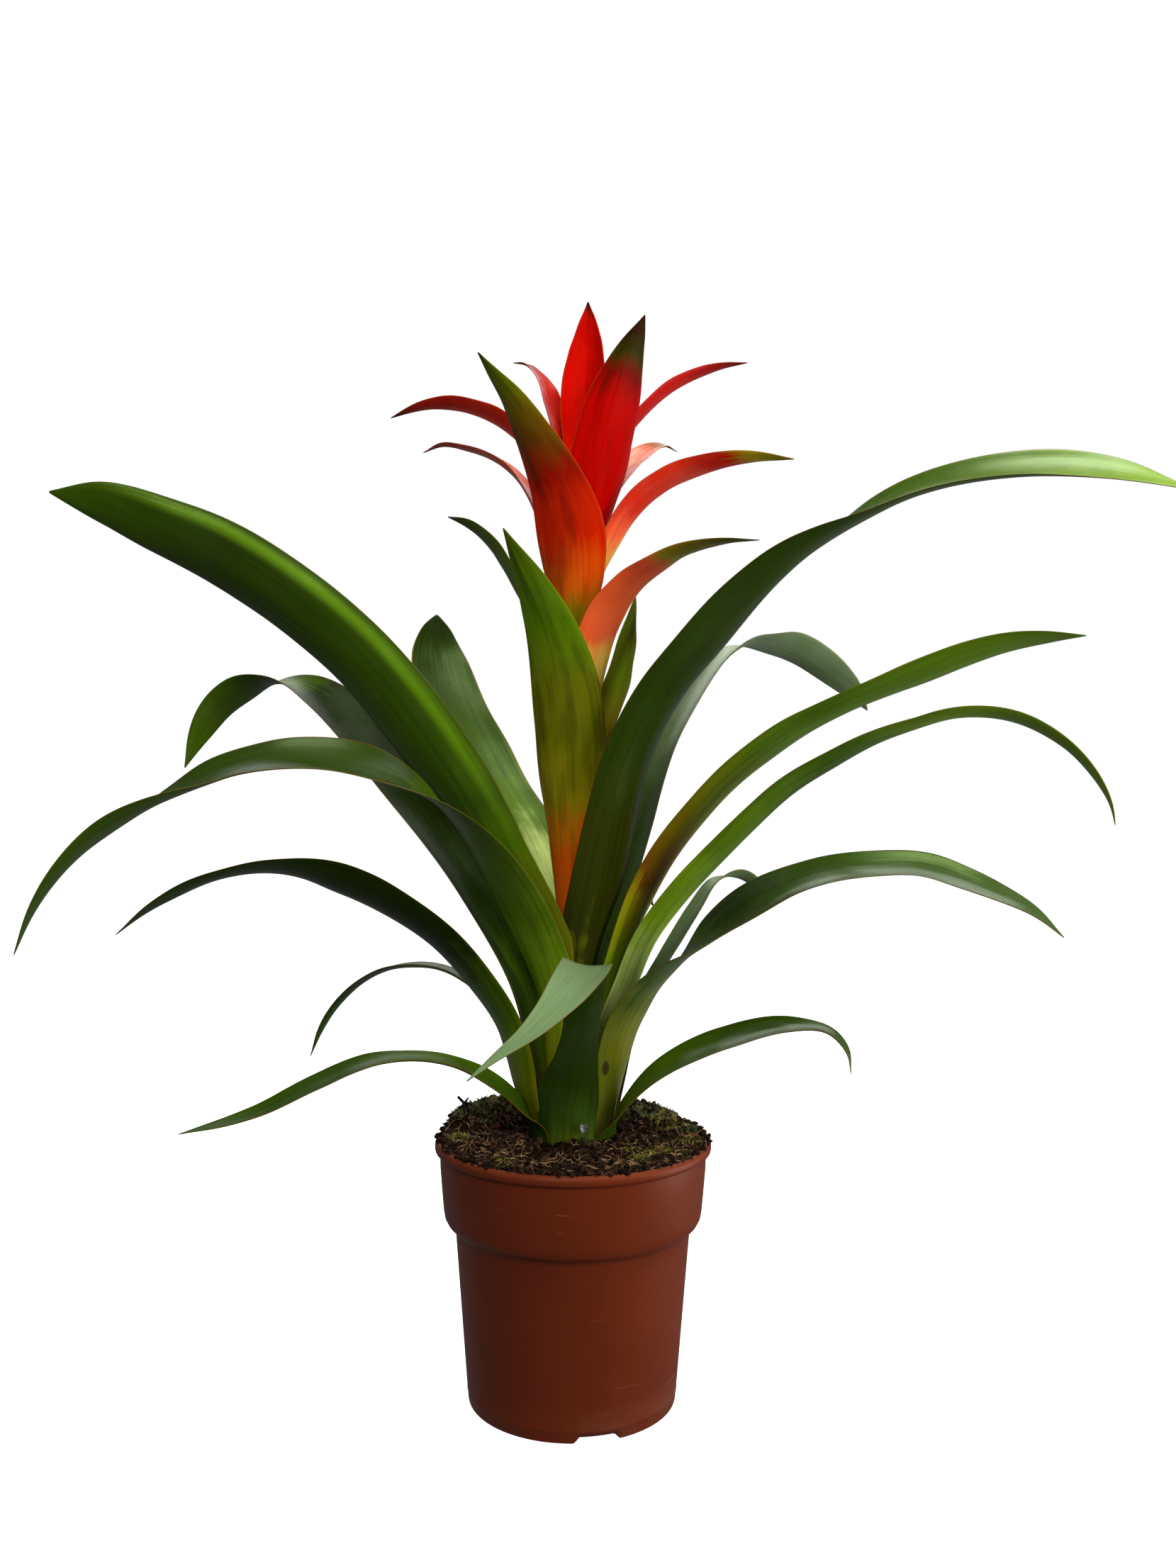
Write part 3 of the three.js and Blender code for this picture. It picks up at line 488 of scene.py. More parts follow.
# Skins: how smooth they are (gloss), how much they mirror (shine, tint), light let in (depth), pale wax
# (bloom), darker lengthwise lines (lines) and darker blotches (mottle).
LEAF_SKIN = {
    "under": GREEN_LEAF, "gloss": 0.75, "shine": 0.25, "tint": (0.6, 1, 0.2, 1), "depth": 0.0, "bloom": 0.01,
    "lines": 0.6, "mottle": 0.15,
}
BRACT_SKIN = {
    "under": RED_BRACT, "gloss": 0.65, "shine": 0.15, "tint": (1, 0.18, 0.08, 1), "depth": 0.15,
    "bloom": 0.01, "lines": 0.22, "mottle": 0.25,
}

# What differs from them: colours from base to tip on the underside and, where they differ, on the upper face.
# A painted highlight is a bright band beside a margin that paints the light falling on the leaf's crest, as
# its edges across the blade and its strength. A spot is a bruise, as x, height, half width and half height.
LOOKS = {
    "leaf_right_tallest": {
        "under": (
            (0, OLIVE), (0.1, OLIVE), (0.16, DARK_OLIVE), (0.28, DARK_OLIVE), (0.38, DEEP_GREEN),
            (0.6, DEEP_GREEN), (1, LEAF_GREEN),
        ),
        "upper": ((0, OLIVE), (0.6, DEEP_GREEN), (0.7, LEAF_GREEN), (0.85, FRESH_GREEN), (1, BRIGHT_GREEN)),
        "gloss": 0.85, "shine": 0.3,
    },
    "leaf_left_tallest": {
        "under": (
            (0, OLIVE), (0.2, OLIVE), (0.3, FRESH_GREEN), (0.42, LEAF_GREEN), (0.8, DEEP_GREEN),
            (1, LEAF_GREEN),
        ),
        "upper": DEEP_LEAF,
        # Beside the upper margin, a painted highlight of brighter green stands for the light on the crest.
        "gloss": 0.9, "shine": 0.25, "painted_highlight": (0.98, 0.72, 0.75),
    },
    "leaf_back_left_upright": {
        "under": DEEP_LEAF,
        "upper": (
            (0, PALE_GREEN), (0.4, PALE_GREEN), (0.5, FRESH_GREEN), (0.6, LEAF_GREEN), (0.85, DEEP_GREEN),
            (1, NIGHT_GREEN),
        ),
        "gloss": 0.8, "shine": 0.12,
    },
    "leaf_back_right_arching": {
        "under": ((0, FRESH_GREEN), (0.4, LEAF_GREEN), (0.6, GREY_GREEN), (1, GREY_GREEN)),
        "bloom": 0.1,
    },
    "leaf_right_upper": {
        "under": (
            (0, OLIVE), (0.12, BRIGHT_GREEN), (0.22, BRIGHT_GREEN), (0.28, YELLOW_OLIVE), (0.33, BRONZE),
            (0.44, OLIVE), (0.55, FRESH_GREEN), (1, FRESH_GREEN),
        ),
        "upper": ((0, YELLOW_OLIVE), (0.3, OLIVE), (0.5, FRESH_GREEN), (0.7, LEAF_GREEN), (1, LEAF_GREEN)),
        "gloss": 0.85, "shine": 0.12,
    },
    "leaf_left_back": {
        "under": (
            (0, OLIVE), (0.14, FRESH_GREEN), (0.3, DEEP_GREEN), (0.7, DEEP_GREEN), (0.8, LEAF_GREEN),
            (1, FRESH_GREEN),
        ),
        "upper": (
            (0, OLIVE), (0.14, FRESH_GREEN), (0.3, DEEP_GREEN), (0.5, NIGHT_GREEN), (0.72, NIGHT_GREEN),
            (0.8, FRESH_GREEN), (1, FRESH_GREEN),
        ),
        "gloss": 0.7, "shine": 0.05, "bloom": 0.04,
    },
    "leaf_right_middle": {
        "under": (
            (0, PALE_GREEN), (0.14, PALE_GREEN), (0.26, BRIGHT_GREEN), (0.4, FRESH_GREEN), (0.6, LEAF_GREEN),
            (0.85, BRIGHT_GREEN), (1, BRIGHT_GREEN),
        ),
        "upper": (
            (0, PALE_GREEN), (0.3, FRESH_GREEN), (0.5, DEEP_GREEN), (0.85, FRESH_GREEN), (1, BRIGHT_GREEN),
        ),
        "shine": 0.1, "bloom": 0.03,
    },
    "leaf_front_left_arching": {
        "under": (
            (0, YELLOW_OLIVE), (0.16, BRIGHT_GREEN), (0.35, FRESH_GREEN), (0.6, DEEP_GREEN), (1, LEAF_GREEN),
        ),
        "upper": (
            (0, OLIVE), (0.12, BRIGHT_GREEN), (0.35, FRESH_GREEN), (0.5, DEEP_GREEN), (0.7, DEEP_GREEN),
            (1, DEEP_GREEN),
        ),
        "gloss": 0.85, "shine": 0.15,
    },
    "leaf_left_middle": {
        "under": (
            (0, YELLOW_OLIVE), (0.12, OLIVE), (0.22, FRESH_GREEN), (0.38, NIGHT_GREEN), (1, DEEP_GREEN),
        ),
        "shine": 0.15, "bloom": 0,
    },
    "leaf_front_right_middle": {
        "under": (
            (0, DARK_OLIVE), (0.06, OLIVE), (0.2, OLIVE), (0.32, LEAF_GREEN), (0.6, LEAF_GREEN),
            (1, DEEP_GREEN),
        ),
        "upper": (
            (0, OLIVE), (0.2, OLIVE), (0.3, NIGHT_GREEN), (0.46, NIGHT_GREEN), (0.6, LEAF_GREEN),
            (1, LEAF_GREEN),
        ),
        "spot": (13.8, 145, 1.6, 3.4), "gloss": 0.9, "shine": 0.45, "bloom": 0.06,
    },
    "leaf_front_folded": {
        "under": ((0, OLIVE), (0.1, LEAF_GREEN), (0.2, DEEP_GREEN), (0.4, DEEP_GREEN), (1, NIGHT_GREEN)),
        "upper": (
            (0, LEAF_GREEN), (0.42, LEAF_GREEN), (0.52, GREY_GREEN), (0.7, SAGE_GREEN), (1, GREY_GREEN),
        ),
        "gloss": 0.6, "lines": 0.3, "shine": 0.04, "bloom": 0.03,
    },
    "leaf_left_lowest": {"under": LOW_LEAF, "shine": 0.12},
    "leaf_right_lowest": {"under": LOW_LEAF, "gloss": 0.95, "shine": 0.35},
    "leaf_right_back_small": {
        "under": ((0, DEEP_GREEN), (0.4, LEAF_GREEN), (0.6, GREY_GREEN), (1, GREY_GREEN)),
    },
    "leaf_left_back_small": {
        "under": ((0, DEEP_GREEN), (0.4, LEAF_GREEN), (0.7, DEEP_GREEN), (1, LEAF_GREEN)),
    },
    "bract_front_lowest": {
        "under": (
            (0, BRONZE), (0.12, ORANGE), (0.24, ORANGE), (0.36, YELLOW_OLIVE), (0.5, OLIVE), (0.62, OLIVE),
            (0.74, GRASS_GREEN), (1, FRESH_GREEN),
        ),
        "mottle": 0.6,
    },
    "bract_back_lowest": {"under": ((0, BRONZE), (0.25, YELLOW_OLIVE), (0.5, FRESH_GREEN), (1, LEAF_GREEN))},
    "bract_right_back_low": {
        "under": ((0, YELLOW_OLIVE), (0.35, YELLOW_OLIVE), (0.6, BRIGHT_GREEN), (1, FRESH_GREEN)),
    },
    "bract_back_left_low": {"under": ((0, BRONZE), (0.3, OLIVE), (0.6, FRESH_GREEN), (1, DEEP_GREEN))},
    "bract_right_low": {
        "under": (
            (0, YELLOW), (0.22, YELLOW), (0.34, CORAL), (0.54, CORAL), (0.62, DUSTY_RED), (0.7, YELLOW_OLIVE),
            (0.9, OLIVE), (1, FRESH_GREEN),
        ),
        "bloom": 0.04,
    },
    "bract_left_low": {
        "under": ((0, BRONZE), (0.25, OLIVE), (0.45, FRESH_GREEN), (1, LEAF_GREEN)),
        "bloom": 0.03,
    },
    "bract_back_middle": {
        "under": ((0, YELLOW), (0.2, ORANGE), (0.5, FLAME), (0.75, BRONZE), (1, LEAF_GREEN)),
    },
    "bract_front_left": {
        "under": (
            (0, YELLOW_OLIVE), (0.1, YELLOW_OLIVE), (0.22, ORANGE), (0.34, FLAME), (0.45, FLAME),
            (0.58, BRICK), (0.68, BRONZE), (0.86, OLIVE), (0.96, FRESH_GREEN), (1, DARK_TIP),
        ),
        "mottle": 0.5,
    },
    "bract_right_middle": {
        "under": (
            (0, YELLOW), (0.2, YELLOW), (0.3, CORAL), (0.42, FLAME), (0.6, FLAME), (0.78, BRICK),
            (0.86, YELLOW_OLIVE), (1, OLIVE),
        ),
        "bloom": 0.12,
    },
    "bract_left_middle": {
        "under": ((0, YELLOW), (0.15, FLAME), (0.6, DUSTY_RED), (0.85, BRICK), (1, DARK_TIP)),
        "lines": 0, "bloom": 0.3,
    },
    "bract_front_right": {
        "under": (
            (0, YELLOW), (0.08, FLAME), (0.2, SCARLET), (0.66, SCARLET), (0.76, WINE), (0.84, DARK_OLIVE),
            (0.92, DARK_TIP), (1, DARK_TIP),
        ),
        "shine": 0.08, "bloom": 0,
    },
    "bract_back_right": {
        "under": ((0, FLAME), (0.4, BRICK), (0.7, DUSTY_RED), (0.85, BRONZE), (1, DARK_TIP)),
        "bloom": 0.7,
    },
    "bract_left_top": {
        "under": ((0, YELLOW), (0.15, SCARLET), (0.6, FLAME), (0.84, BRICK), (1, DARK_TIP)),
        "upper": ((0, YELLOW), (0.15, FLAME), (0.6, FLAME), (0.84, BRICK), (1, DARK_TIP)),
        "bloom": 0.05,
    },
    "bract_right_top": {
        "under": ((0, YELLOW), (0.15, SCARLET), (0.7, SCARLET), (0.9, WINE), (1, DARK_TIP)),
        "bloom": 0.05,
    },
    "bract_back_left_top": {"under": ((0, FLAME), (0.2, SCARLET), (0.7, BRICK), (1, DARK_TIP))},
    "bract_top": {
        "under": ((0, FLAME), (0.3, CRIMSON), (0.94, CRIMSON), (1, DARK_TIP)),
        "shine": 0.05, "bloom": 0,
    },
}


class Wire:
    """A number inside a finish. Sums, products and powers of it add Math nodes."""

    def __init__(self, finish, socket):
        self.finish = finish
        self.socket = socket

    def math(self, operation, first, second=0.0):
        return self.finish.node("Math", {"operation": operation}, {0: first, 1: second})

    def __add__(self, other):
        return self.math("ADD", self, other)

    def __sub__(self, other):
        return self.math("SUBTRACT", self, other)

    def __rsub__(self, other):
        return self.math("SUBTRACT", other, self)

    def __mul__(self, other):
        return self.math("MULTIPLY", self, other)

    def __truediv__(self, other):
        return self.math("DIVIDE", self, other)

    def __abs__(self):
        return self.math("ABSOLUTE", self)

    __radd__ = __add__
    __rmul__ = __mul__


class Finish:
    """One material, with the methods that lay its nodes."""

    def __init__(self, name, **shader):
        self.material = bpy.data.materials.new(name)
        self.material.use_nodes = True
        self.tree = self.material.node_tree
        self.shader = self.tree.nodes["Principled BSDF"]
        for socket, value in shader.items():
            self.shader.inputs[socket.replace("_", " ").title().replace("Ior", "IOR")].default_value = value

    def feed(self, socket, value):
        if isinstance(value, Wire):
            self.tree.links.new(value.socket, socket)
        else:
            socket.default_value = value

    def node(self, kind, settings=None, inputs=None, output=0):
        """Adds a node, sets it, feeds its sockets and gives back one of its outputs."""
        node = self.tree.nodes.new("ShaderNode" + kind)
        for name, value in (settings or {}).items():
            if name != "stops":
                setattr(node, name, value)
                continue
            elements = node.color_ramp.elements
            while len(elements) < len(value):
                elements.new(0.5)
            for element, (place, colour) in zip(elements, value):
                element.position = place
            for element, (place, colour) in zip(elements, value):
                element.color = colour
        for name, value in (inputs or {}).items():
            self.feed(node.inputs[name], value)
        return Wire(self, node.outputs[output])

    def blend(self, mask, under, over):
        """The colour under, with the colour over where the mask is 1."""
        return self.node("Mix", {"data_type": "RGBA"}, {0: mask, 6: under, 7: over}, 2)

    def darken(self, mask, colour, shade):
        """The colour, with the shade laid over it where the mask is 1."""
        shade_on = {"data_type": "RGBA", "blend_type": "MULTIPLY"}
        darker = self.node("Mix", shade_on, {0: 1.0, 6: colour, 7: shade}, 2)
        return self.blend(mask, colour, darker)

    def band(self, value, low, high):
        """A mask that rises from 0 at low to 1 at high."""
        ranges = {"Value": value, "From Min": low, "From Max": high}
        return self.node("MapRange", {"interpolation_type": "SMOOTHSTEP"}, ranges)

    def grain(self, where, scale, detail=3.0, roughness=0.55):
        """Noise from 0 to 1."""
        sockets = {"Vector": where, "Scale": scale, "Detail": detail, "Roughness": roughness}
        return self.node("TexNoise", None, sockets)

    def place(self):
        return self.node("TexCoord", output="Object")

    def part(self, vector, axis):
        """One number of a place: 0 is x, 1 is y and 2 is z."""
        return self.node("SeparateXYZ", None, {0: vector}, axis)

    def stretched(self, where, scale, turn=(0, 0, 0)):
        return self.node("Mapping", None, {0: where, "Rotation": turn, "Scale": scale})

    def bump(self, height, distance, strength=1.0, below=None):
        sockets = {"Height": height, "Distance": distance, "Strength": strength}
        if below is not None:
            sockets["Normal"] = below
        return self.node("Bump", None, sockets)

    def dress(self, **sockets):
        """Feeds what changes over the surface to the shader."""
        for name, value in sockets.items():
            self.feed(self.shader.inputs[name.replace("_", " ").title()], value)
        return self.material


def from_axis(distance, azimuth, height):
    angle = math.radians(azimuth)
    return Vector((distance * math.cos(angle), distance * math.sin(angle), height)) * MM


def lerp(start, end, share):
    return start + (end - start) * share


def smoothstep(value, low, high):
    share = min(max((value - low) / (high - low), 0.0), 1.0)
    return share * share * (3 - 2 * share)


def from_table(table, share):
    """Value at a share of the length, from (share, value) rows, on a smooth line through them."""
    row = 1
    while row < len(table) - 1 and share > table[row][0]:
        row += 1
    low, start = table[row - 1]
    high, end = table[row]
    span = high - low

    def slope(at):
        if at in (0, len(table) - 1):
            return (end - start) / span
        before, after = table[at - 1], table[at + 1]
        left = (table[at][1] - before[1]) / (table[at][0] - before[0])
        right = (after[1] - table[at][1]) / (after[0] - table[at][0])
        return 0.0 if left * right <= 0 else 2 * left * right / (left + right)

    t = min(max((share - low) / span, 0.0), 1.0)
    rise_in, rise_out = slope(row - 1) * span, slope(row) * span
    return (
        start * (2 * t**3 - 3 * t**2 + 1)
        + rise_in * (t**3 - 2 * t**2 + t)
        + end * (3 * t**2 - 2 * t**3)
        + rise_out * (t**3 - t**2)
    )


class Spine:
    """A smooth line through points, read by share of its length."""

    PIECES = 24

    def __init__(self, points):
        ends = [points[0] * 2 - points[1], *points, points[-1] * 2 - points[-2]]
        self.places = []
        for four in zip(ends, ends[1:], ends[2:], ends[3:]):
            self.places += [self.between(*four, i / self.PIECES) for i in range(self.PIECES)]
        self.places.append(points[-1])
        self.lengths = [0.0]
        for start, end in zip(self.places, self.places[1:]):
            self.lengths.append(self.lengths[-1] + (end - start).length)
        self.length = self.lengths[-1]

    @staticmethod
    def between(before, start, end, after, share):
        """Centripetal Catmull-Rom point between start and end."""
        pairs = ((before, start), (start, end), (end, after))
        first, middle, last = ((one - other).length ** 0.5 for one, other in pairs)
        leave = (start - before) / first - (end - before) / (first + middle) + (end - start) / middle
        arrive = (end - start) / middle - (after - start) / (middle + last) + (after - end) / last
        leave, arrive = leave * middle, arrive * middle
        curve = (end - start) * 3 - leave * 2 - arrive
        return start + leave * share + curve * share**2 + ((start - end) * 2 + leave + arrive) * share**3

    def at(self, share):
        """Place and direction at a share of the length."""
        wanted = share * self.length
        low, high = 0, len(self.lengths) - 2
        while low < high:
            middle = (low + high + 1) // 2
            low, high = (middle, high) if self.lengths[middle] <= wanted else (low, middle - 1)
        span = self.lengths[low + 1] - self.lengths[low]
        part = (wanted - self.lengths[low]) / span
        last = len(self.places) - 1
        ahead = self.places[min(low + 2, last)] - self.places[low]
        behind = self.places[low + 1] - self.places[max(low - 1, 0)]
        return self.places[low].lerp(self.places[low + 1], part), behind.lerp(ahead, part).normalized()


def finished_piece(name, mesh, finishes, slot, replaced=None):
    """Links a mesh as a piece of the object, rides it on the body and gives it its finishes."""
    for finish in finishes:
        mesh.materials.append(finish)
    piece = bpy.data.objects.new(name, mesh)
    bpy.context.scene.collection.objects.link(piece)
    for polygon in mesh.polygons:
        polygon.use_smooth = True
    if replaced:
        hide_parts(replaced)
    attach(piece, "root")
    return piece


def mesh_from(form, name):
    mesh = bpy.data.meshes.new(name)
    form.to_mesh(mesh)
    form.free()
    return mesh


def blade_mesh(name, blade, start):
    """A channelled blade along its spine: an arc round the axis near it, opening to the channel angle."""
    first_turn = (*blade["spine"][0], 0)[2]
    points = [from_axis(row[0], blade["azimuth"] + (*row, 0)[2], row[1]) for row in blade["spine"]]
    foot = [from_axis(distance, blade["azimuth"] + first_turn, height) for distance, height in start]
    spine = Spine(foot + points)
    draw = random.Random(name)
    ripple = [
        (draw.uniform(*RIPPLE_WAVES), draw.uniform(0, 6.28), draw.uniform(*RIPPLE_HEIGHTS)) for _ in range(2)
    ]
    uneven = draw.uniform(0, 100)
    form = bmesh.new()
    form.loops.layers.uv.new("blade")
    bmesh.ops.create_grid(form, x_segments=BLADE_COLUMNS, y_segments=blade["rows"], size=0.5, calc_uvs=True)
    thin = form.verts.layers.deform.verify()
    rows = {}
    for vertex in form.verts:
        rows.setdefault(round(vertex.co.y + 0.5, 5), []).append(vertex)
    for share, row in rows.items():
        centre, along = spine.at(share)
        distance = math.hypot(centre.x, centre.y) / MM
        side = Vector((-centre.y, centre.x, 0)).normalized()
        side = (side - along * side.dot(along)).normalized()
        roll = from_table(blade.get("roll", ((0, 0), (1, 0))), share)
        side.rotate(Quaternion(along, math.radians(roll)))
        inward = along.cross(side)
        widest = blade["width"] * from_table(blade["shape"], share)
        widest *= 1 + 0.03 * noise.noise(Vector((share * 9, uneven, 0))) * smoothstep(share, 0.3, 0.5)
        width = min(max(widest, TIP_WIDTH), math.radians(blade["wrap"]) * distance)
        opened = smoothstep(distance, start[0][0] + 1, start[0][0] + blade["spread"])
        flattening = 1 - 0.6 * smoothstep(share, 0.85, 1)
        channel = math.radians(lerp(*blade["channel"], share)) * flattening
        bend = lerp(width / distance, channel, opened)
        radius = width / bend
        free = smoothstep(share, 0.35, 0.6) * (1 - smoothstep(share, 0.93, 1))
        middle = lerp(blade["thickness"], TIP_THICKNESS, share) / blade["thickness"]
        pointed = lerp(1, POINT_SHARE, smoothstep(share, 0.9, 1))
        for vertex in row:
            part = vertex.co.x
            waves, phase, height = ripple[part > 0]
            lift = height * free * (2 * part) ** 2 * math.sin(FULL_TURN * waves * share + phase) * width / 30
            lift += free * 0.25 * noise.noise(Vector((share * 14, part * 5, uneven)))
            angle = bend * part
            depth = radius - radius * math.cos(angle) + lift
            vertex.co = centre + (inward * depth + side * radius * math.sin(angle)) * MM
            vertex[thin][0] = lerp(middle, MARGIN_SHARE, abs(2 * part) ** 3) * pointed
    form.normal_update()
    return mesh_from(form, name), spine.length


def grow_blade(name, blade, start, skin, slot):
    """A leaf or bract with its two faces, thinner towards margins and tip."""
    mesh, length = blade_mesh(name, blade, start)
    finishes = blade_finishes(name, blade["width"], length, skin)
    piece = finished_piece(name + "_grown", mesh, finishes, slot, name)
    piece.vertex_groups.new(name="thickness")
    shell = piece.modifiers.new("thickness", "SOLIDIFY")
    shell.thickness = blade["thickness"] * MM
    shell.offset = 0
    shell.vertex_group = "thickness"
    shell.material_offset = 1
    smooth = piece.modifiers.new("rounded margins", "SUBSURF")
    smooth.levels = smooth.render_levels = 1


def blade_finish(name, stops, width, length, look, seed):
    """Skin of a leaf or bract: colour along it, a painted highlight band, fine lengthwise lines, blotches,
    brown margin, waxy bloom.
    """
    finish = Finish(
        name, ior=1.45, specular_ior_level=look["shine"], specular_tint=look["tint"],
        subsurface_weight=look["depth"],
    )
    finish.shader.inputs["Subsurface Radius"].default_value = (0.004, 0.002, 0.001)
    finish.shader.inputs["Subsurface Scale"].default_value = 0.5
    uv = finish.node("TexCoord", output="UV")
    across = finish.part(uv, 0)
    share = finish.part(uv, 1)
    where = finish.place()

    def lines(count, stretch, offset):
        vector = finish.node("CombineXYZ", None, {0: across * count, 1: share * stretch, 2: seed + offset})
        return finish.grain(vector, 1.0, 2.0)

    broad = lines(width * 0.45, length * 9, 0)
    fine = lines(width * 2.2, length * 14, 7)
    clouds = finish.grain(where, 45.0, 3.0)
    reach = share + (broad - 0.5) * 0.12 + (clouds - 0.5) * 0.2
    colour = finish.node("ValToRGB", {"stops": stops}, {0: reach})
    # Painted highlight: brighter green in a band beside one margin, for the light falling on the leaf's
    # crest.
    if "painted_highlight" in look:
        margin, inner, strength = look["painted_highlight"]
        middle = (margin + inner) / 2
        highlight_band = finish.band(across, margin, middle) * finish.band(across, inner, middle)
        highlight_band = highlight_band * finish.band(share, 0.25, 0.5) * finish.band(share, 1.0, 0.75) * (0.6 + fine * 0.8)
        colour = finish.blend(highlight_band * strength, colour, GRASS_GREEN)
    veins = finish.band(broad * 0.4 + fine * 0.6, 0.42, 0.64)
    colour = finish.darken(veins * look["lines"], colour, LINE_SHADE)
    blotches = lines(width * 0.11, length * 26, 13) * 0.75 + fine * 0.25
    colour = finish.darken(finish.band(blotches, 0.48, 0.62) * look["mottle"], colour, BLOTCH_SHADE)
    if "spot" in look:
        x, height, wide, tall = look["spot"]
        aside = (finish.part(where, 0) - x * MM) / (wide * MM)
        above = (finish.part(where, 2) - height * MM) / (tall * MM)
        bruise = 1 - finish.band(aside * aside + above * above + (clouds - 0.5) * 2 + (fine - 0.5), 0.3, 1.2)
        colour = finish.blend(bruise * 0.85, colour, DARK_TIP)
    edge = abs(across - 0.5) * 2
    rim = finish.band(edge + (fine - 0.5) * 0.02, 1 - 1.1 / width, 1 - 0.3 / width)
    colour = finish.blend(rim * 0.55, colour, BRONZE)
    wax = finish.band(finish.grain(where, 30.0, 4.0) * 0.6 + fine * 0.4, 0.4, 0.75) * look["bloom"]
    colour = finish.blend(wax, colour, WAX)
    roughness = 0.6 - look["gloss"] * 0.34 + (clouds - 0.5) * 0.14 + (fine - 0.5) * 0.3 + wax * 0.2
    relief = finish.bump(fine + broad * 0.8, 0.00012, 0.5)
    relief = finish.bump(finish.grain(where, 90.0, 2.0), 0.0006, 0.25, relief)
    return finish.dress(base_color=colour, roughness=roughness, normal=relief)


def blade_finishes(name, width, length, skin):
    """The materials of a blade's underside and upper face."""
    look = {**skin, **LOOKS.get(name, {})}
    seed = random.Random(name).uniform(0, 50)
    sides = {"under": look["under"], "upper": look.get("upper", look["under"])}
    return [
        blade_finish(f"{name} {side} side", stops, width, length, look, seed) for side, stops in sides.items()
    ]


def grow_leaves():
    for name, leaf in LEAVES.items():
        radius = INNER_SHELL_RADIUS + SHELL_PITCH * leaf["shell"]
        base = LOWEST_BASE + BASE_STEP * (SHELLS - 1 - leaf["shell"])
        start = ((radius, base), (radius + FOOT_LEAN, base + FOOT_RISE))
        grow_blade(name, {**LEAF_FORM, **leaf}, start, LEAF_SKIN, "leaf_green")


def stalk_radius(height):
    return lerp(STALK_RADIUS_LOW, STALK_RADIUS_HIGH, (height - ROOTSTOCK_TOP) / (STALK_TOP - ROOTSTOCK_TOP))


def grow_bracts():
    slots = {row["node"]: row["material_slot"] for row in frame["record"]["subparts"]}
    for name, bract in BRACTS.items():
        start = ((stalk_radius(bract["base"]) + BRACT_GAP + BRACT_THICKNESS / 2, bract["base"]),)
        grow_blade(name, {**BRACT_FORM, **bract}, start, BRACT_SKIN, slots[name])


def spun(profile, sides):
    """A bmesh of a profile of (radius, height) rows turned round the axis, closed where it meets the axis."""
    form = bmesh.new()
    points = [form.verts.new((radius * MM, 0, height * MM)) for radius, height in profile]
    edges = [form.edges.new(pair) for pair in zip(points, points[1:])]
    bmesh.ops.spin(
        form, geom=points + edges, axis=(0, 0, 1), cent=(0, 0, 0), angle=math.tau, steps=sides,
        use_merge=True,
    )
    bmesh.ops.remove_doubles(form, verts=form.verts, dist=1e-7)
    bmesh.ops.recalc_face_normals(form, faces=form.faces)
    return form


def notch_lift(azimuth):
    """Height of the foot ring's lower edge over the floor at an azimuth in degrees."""
    lift = 0.0
    for middle in NOTCH_AZIMUTHS:
        away = abs((azimuth - middle + 180) % 360 - 180)
        reach = math.radians(away) * FOOT_RADIUS
        lift = max(lift, min((NOTCH_WIDTH / 2 - reach) / NOTCH_SLOPE, 1) * NOTCH_DEPTH)
    return lift


def pot_profile():
    """Radius and height along the pot's section: underside, foot ring, body, collar, lip and inside."""
    ring = FOOT_RADIUS - FOOT_RING_WIDTH
    lip_bottom = POT_HEIGHT - LIP_HEIGHT
    inner_collar = COLLAR_TOP_RADIUS - POT_WALL
    return [
        (0, BASE_UNDERSIDE), (DRAIN_CIRCLE_RADIUS, BASE_UNDERSIDE), (ring - 0.8, BASE_UNDERSIDE),
        (ring - 0.3, 2.6), (ring, 0.5), (ring + 0.4, 0), (FOOT_RADIUS - 0.7, 0), (FOOT_RADIUS - 0.15, 0.25),
        (FOOT_RADIUS, 0.8), (FOOT_RADIUS + 0.36, 4.7), (FOOT_RADIUS + 0.52, 5.0), (FOOT_RADIUS + 0.44, 5.4),
        (46.3, 16), (47.1, 26), (47.9, 36), (48.7, 46), (49.5, 56), (50.3, 66),
        (BODY_TOP_RADIUS - 0.1, BODY_TOP - 1.4), (BODY_TOP_RADIUS + 0.3, BODY_TOP),
        (COLLAR_BOTTOM_RADIUS - 3.2, BODY_TOP + 1.2), (COLLAR_BOTTOM_RADIUS - 1.4, BODY_TOP + 2.6),
        (COLLAR_BOTTOM_RADIUS - 0.4, COLLAR_BOTTOM - 1), (COLLAR_BOTTOM_RADIUS + 0.1, COLLAR_BOTTOM + 2),
        (COLLAR_BOTTOM_RADIUS + 0.6, 88), (57.1, 94), (57.6, 100),
        (COLLAR_TOP_RADIUS - 0.2, lip_bottom - 0.9), (COLLAR_TOP_RADIUS - 0.3, lip_bottom + 0.1),
        (LIP_RADIUS - 0.7, lip_bottom),
        (LIP_RADIUS - 0.15, lip_bottom + 0.4), (LIP_RADIUS, lip_bottom + 1.1), (LIP_RADIUS, POT_HEIGHT - 2.0),
        (LIP_RADIUS - 0.3, POT_HEIGHT - 0.9), (LIP_RADIUS - 1, POT_HEIGHT - 0.25),
        (LIP_RADIUS - 1.8, POT_HEIGHT), (LIP_RADIUS - 2.6, POT_HEIGHT - 0.3),
        (LIP_RADIUS - 3.1, POT_HEIGHT - 1.2), (inner_collar, POT_HEIGHT - 2.6),
        (inner_collar - 0.1, lip_bottom),
        (COLLAR_BOTTOM_RADIUS - POT_WALL, 83), (COLLAR_BOTTOM_RADIUS - POT_WALL - 0.8, COLLAR_BOTTOM + 0.2),
        (BODY_TOP_RADIUS - POT_WALL, BODY_TOP + 1),
        (FOOT_RADIUS - POT_WALL + 0.4, BASE_UNDERSIDE + POT_WALL), (0, BASE_UNDERSIDE + POT_WALL),
    ]


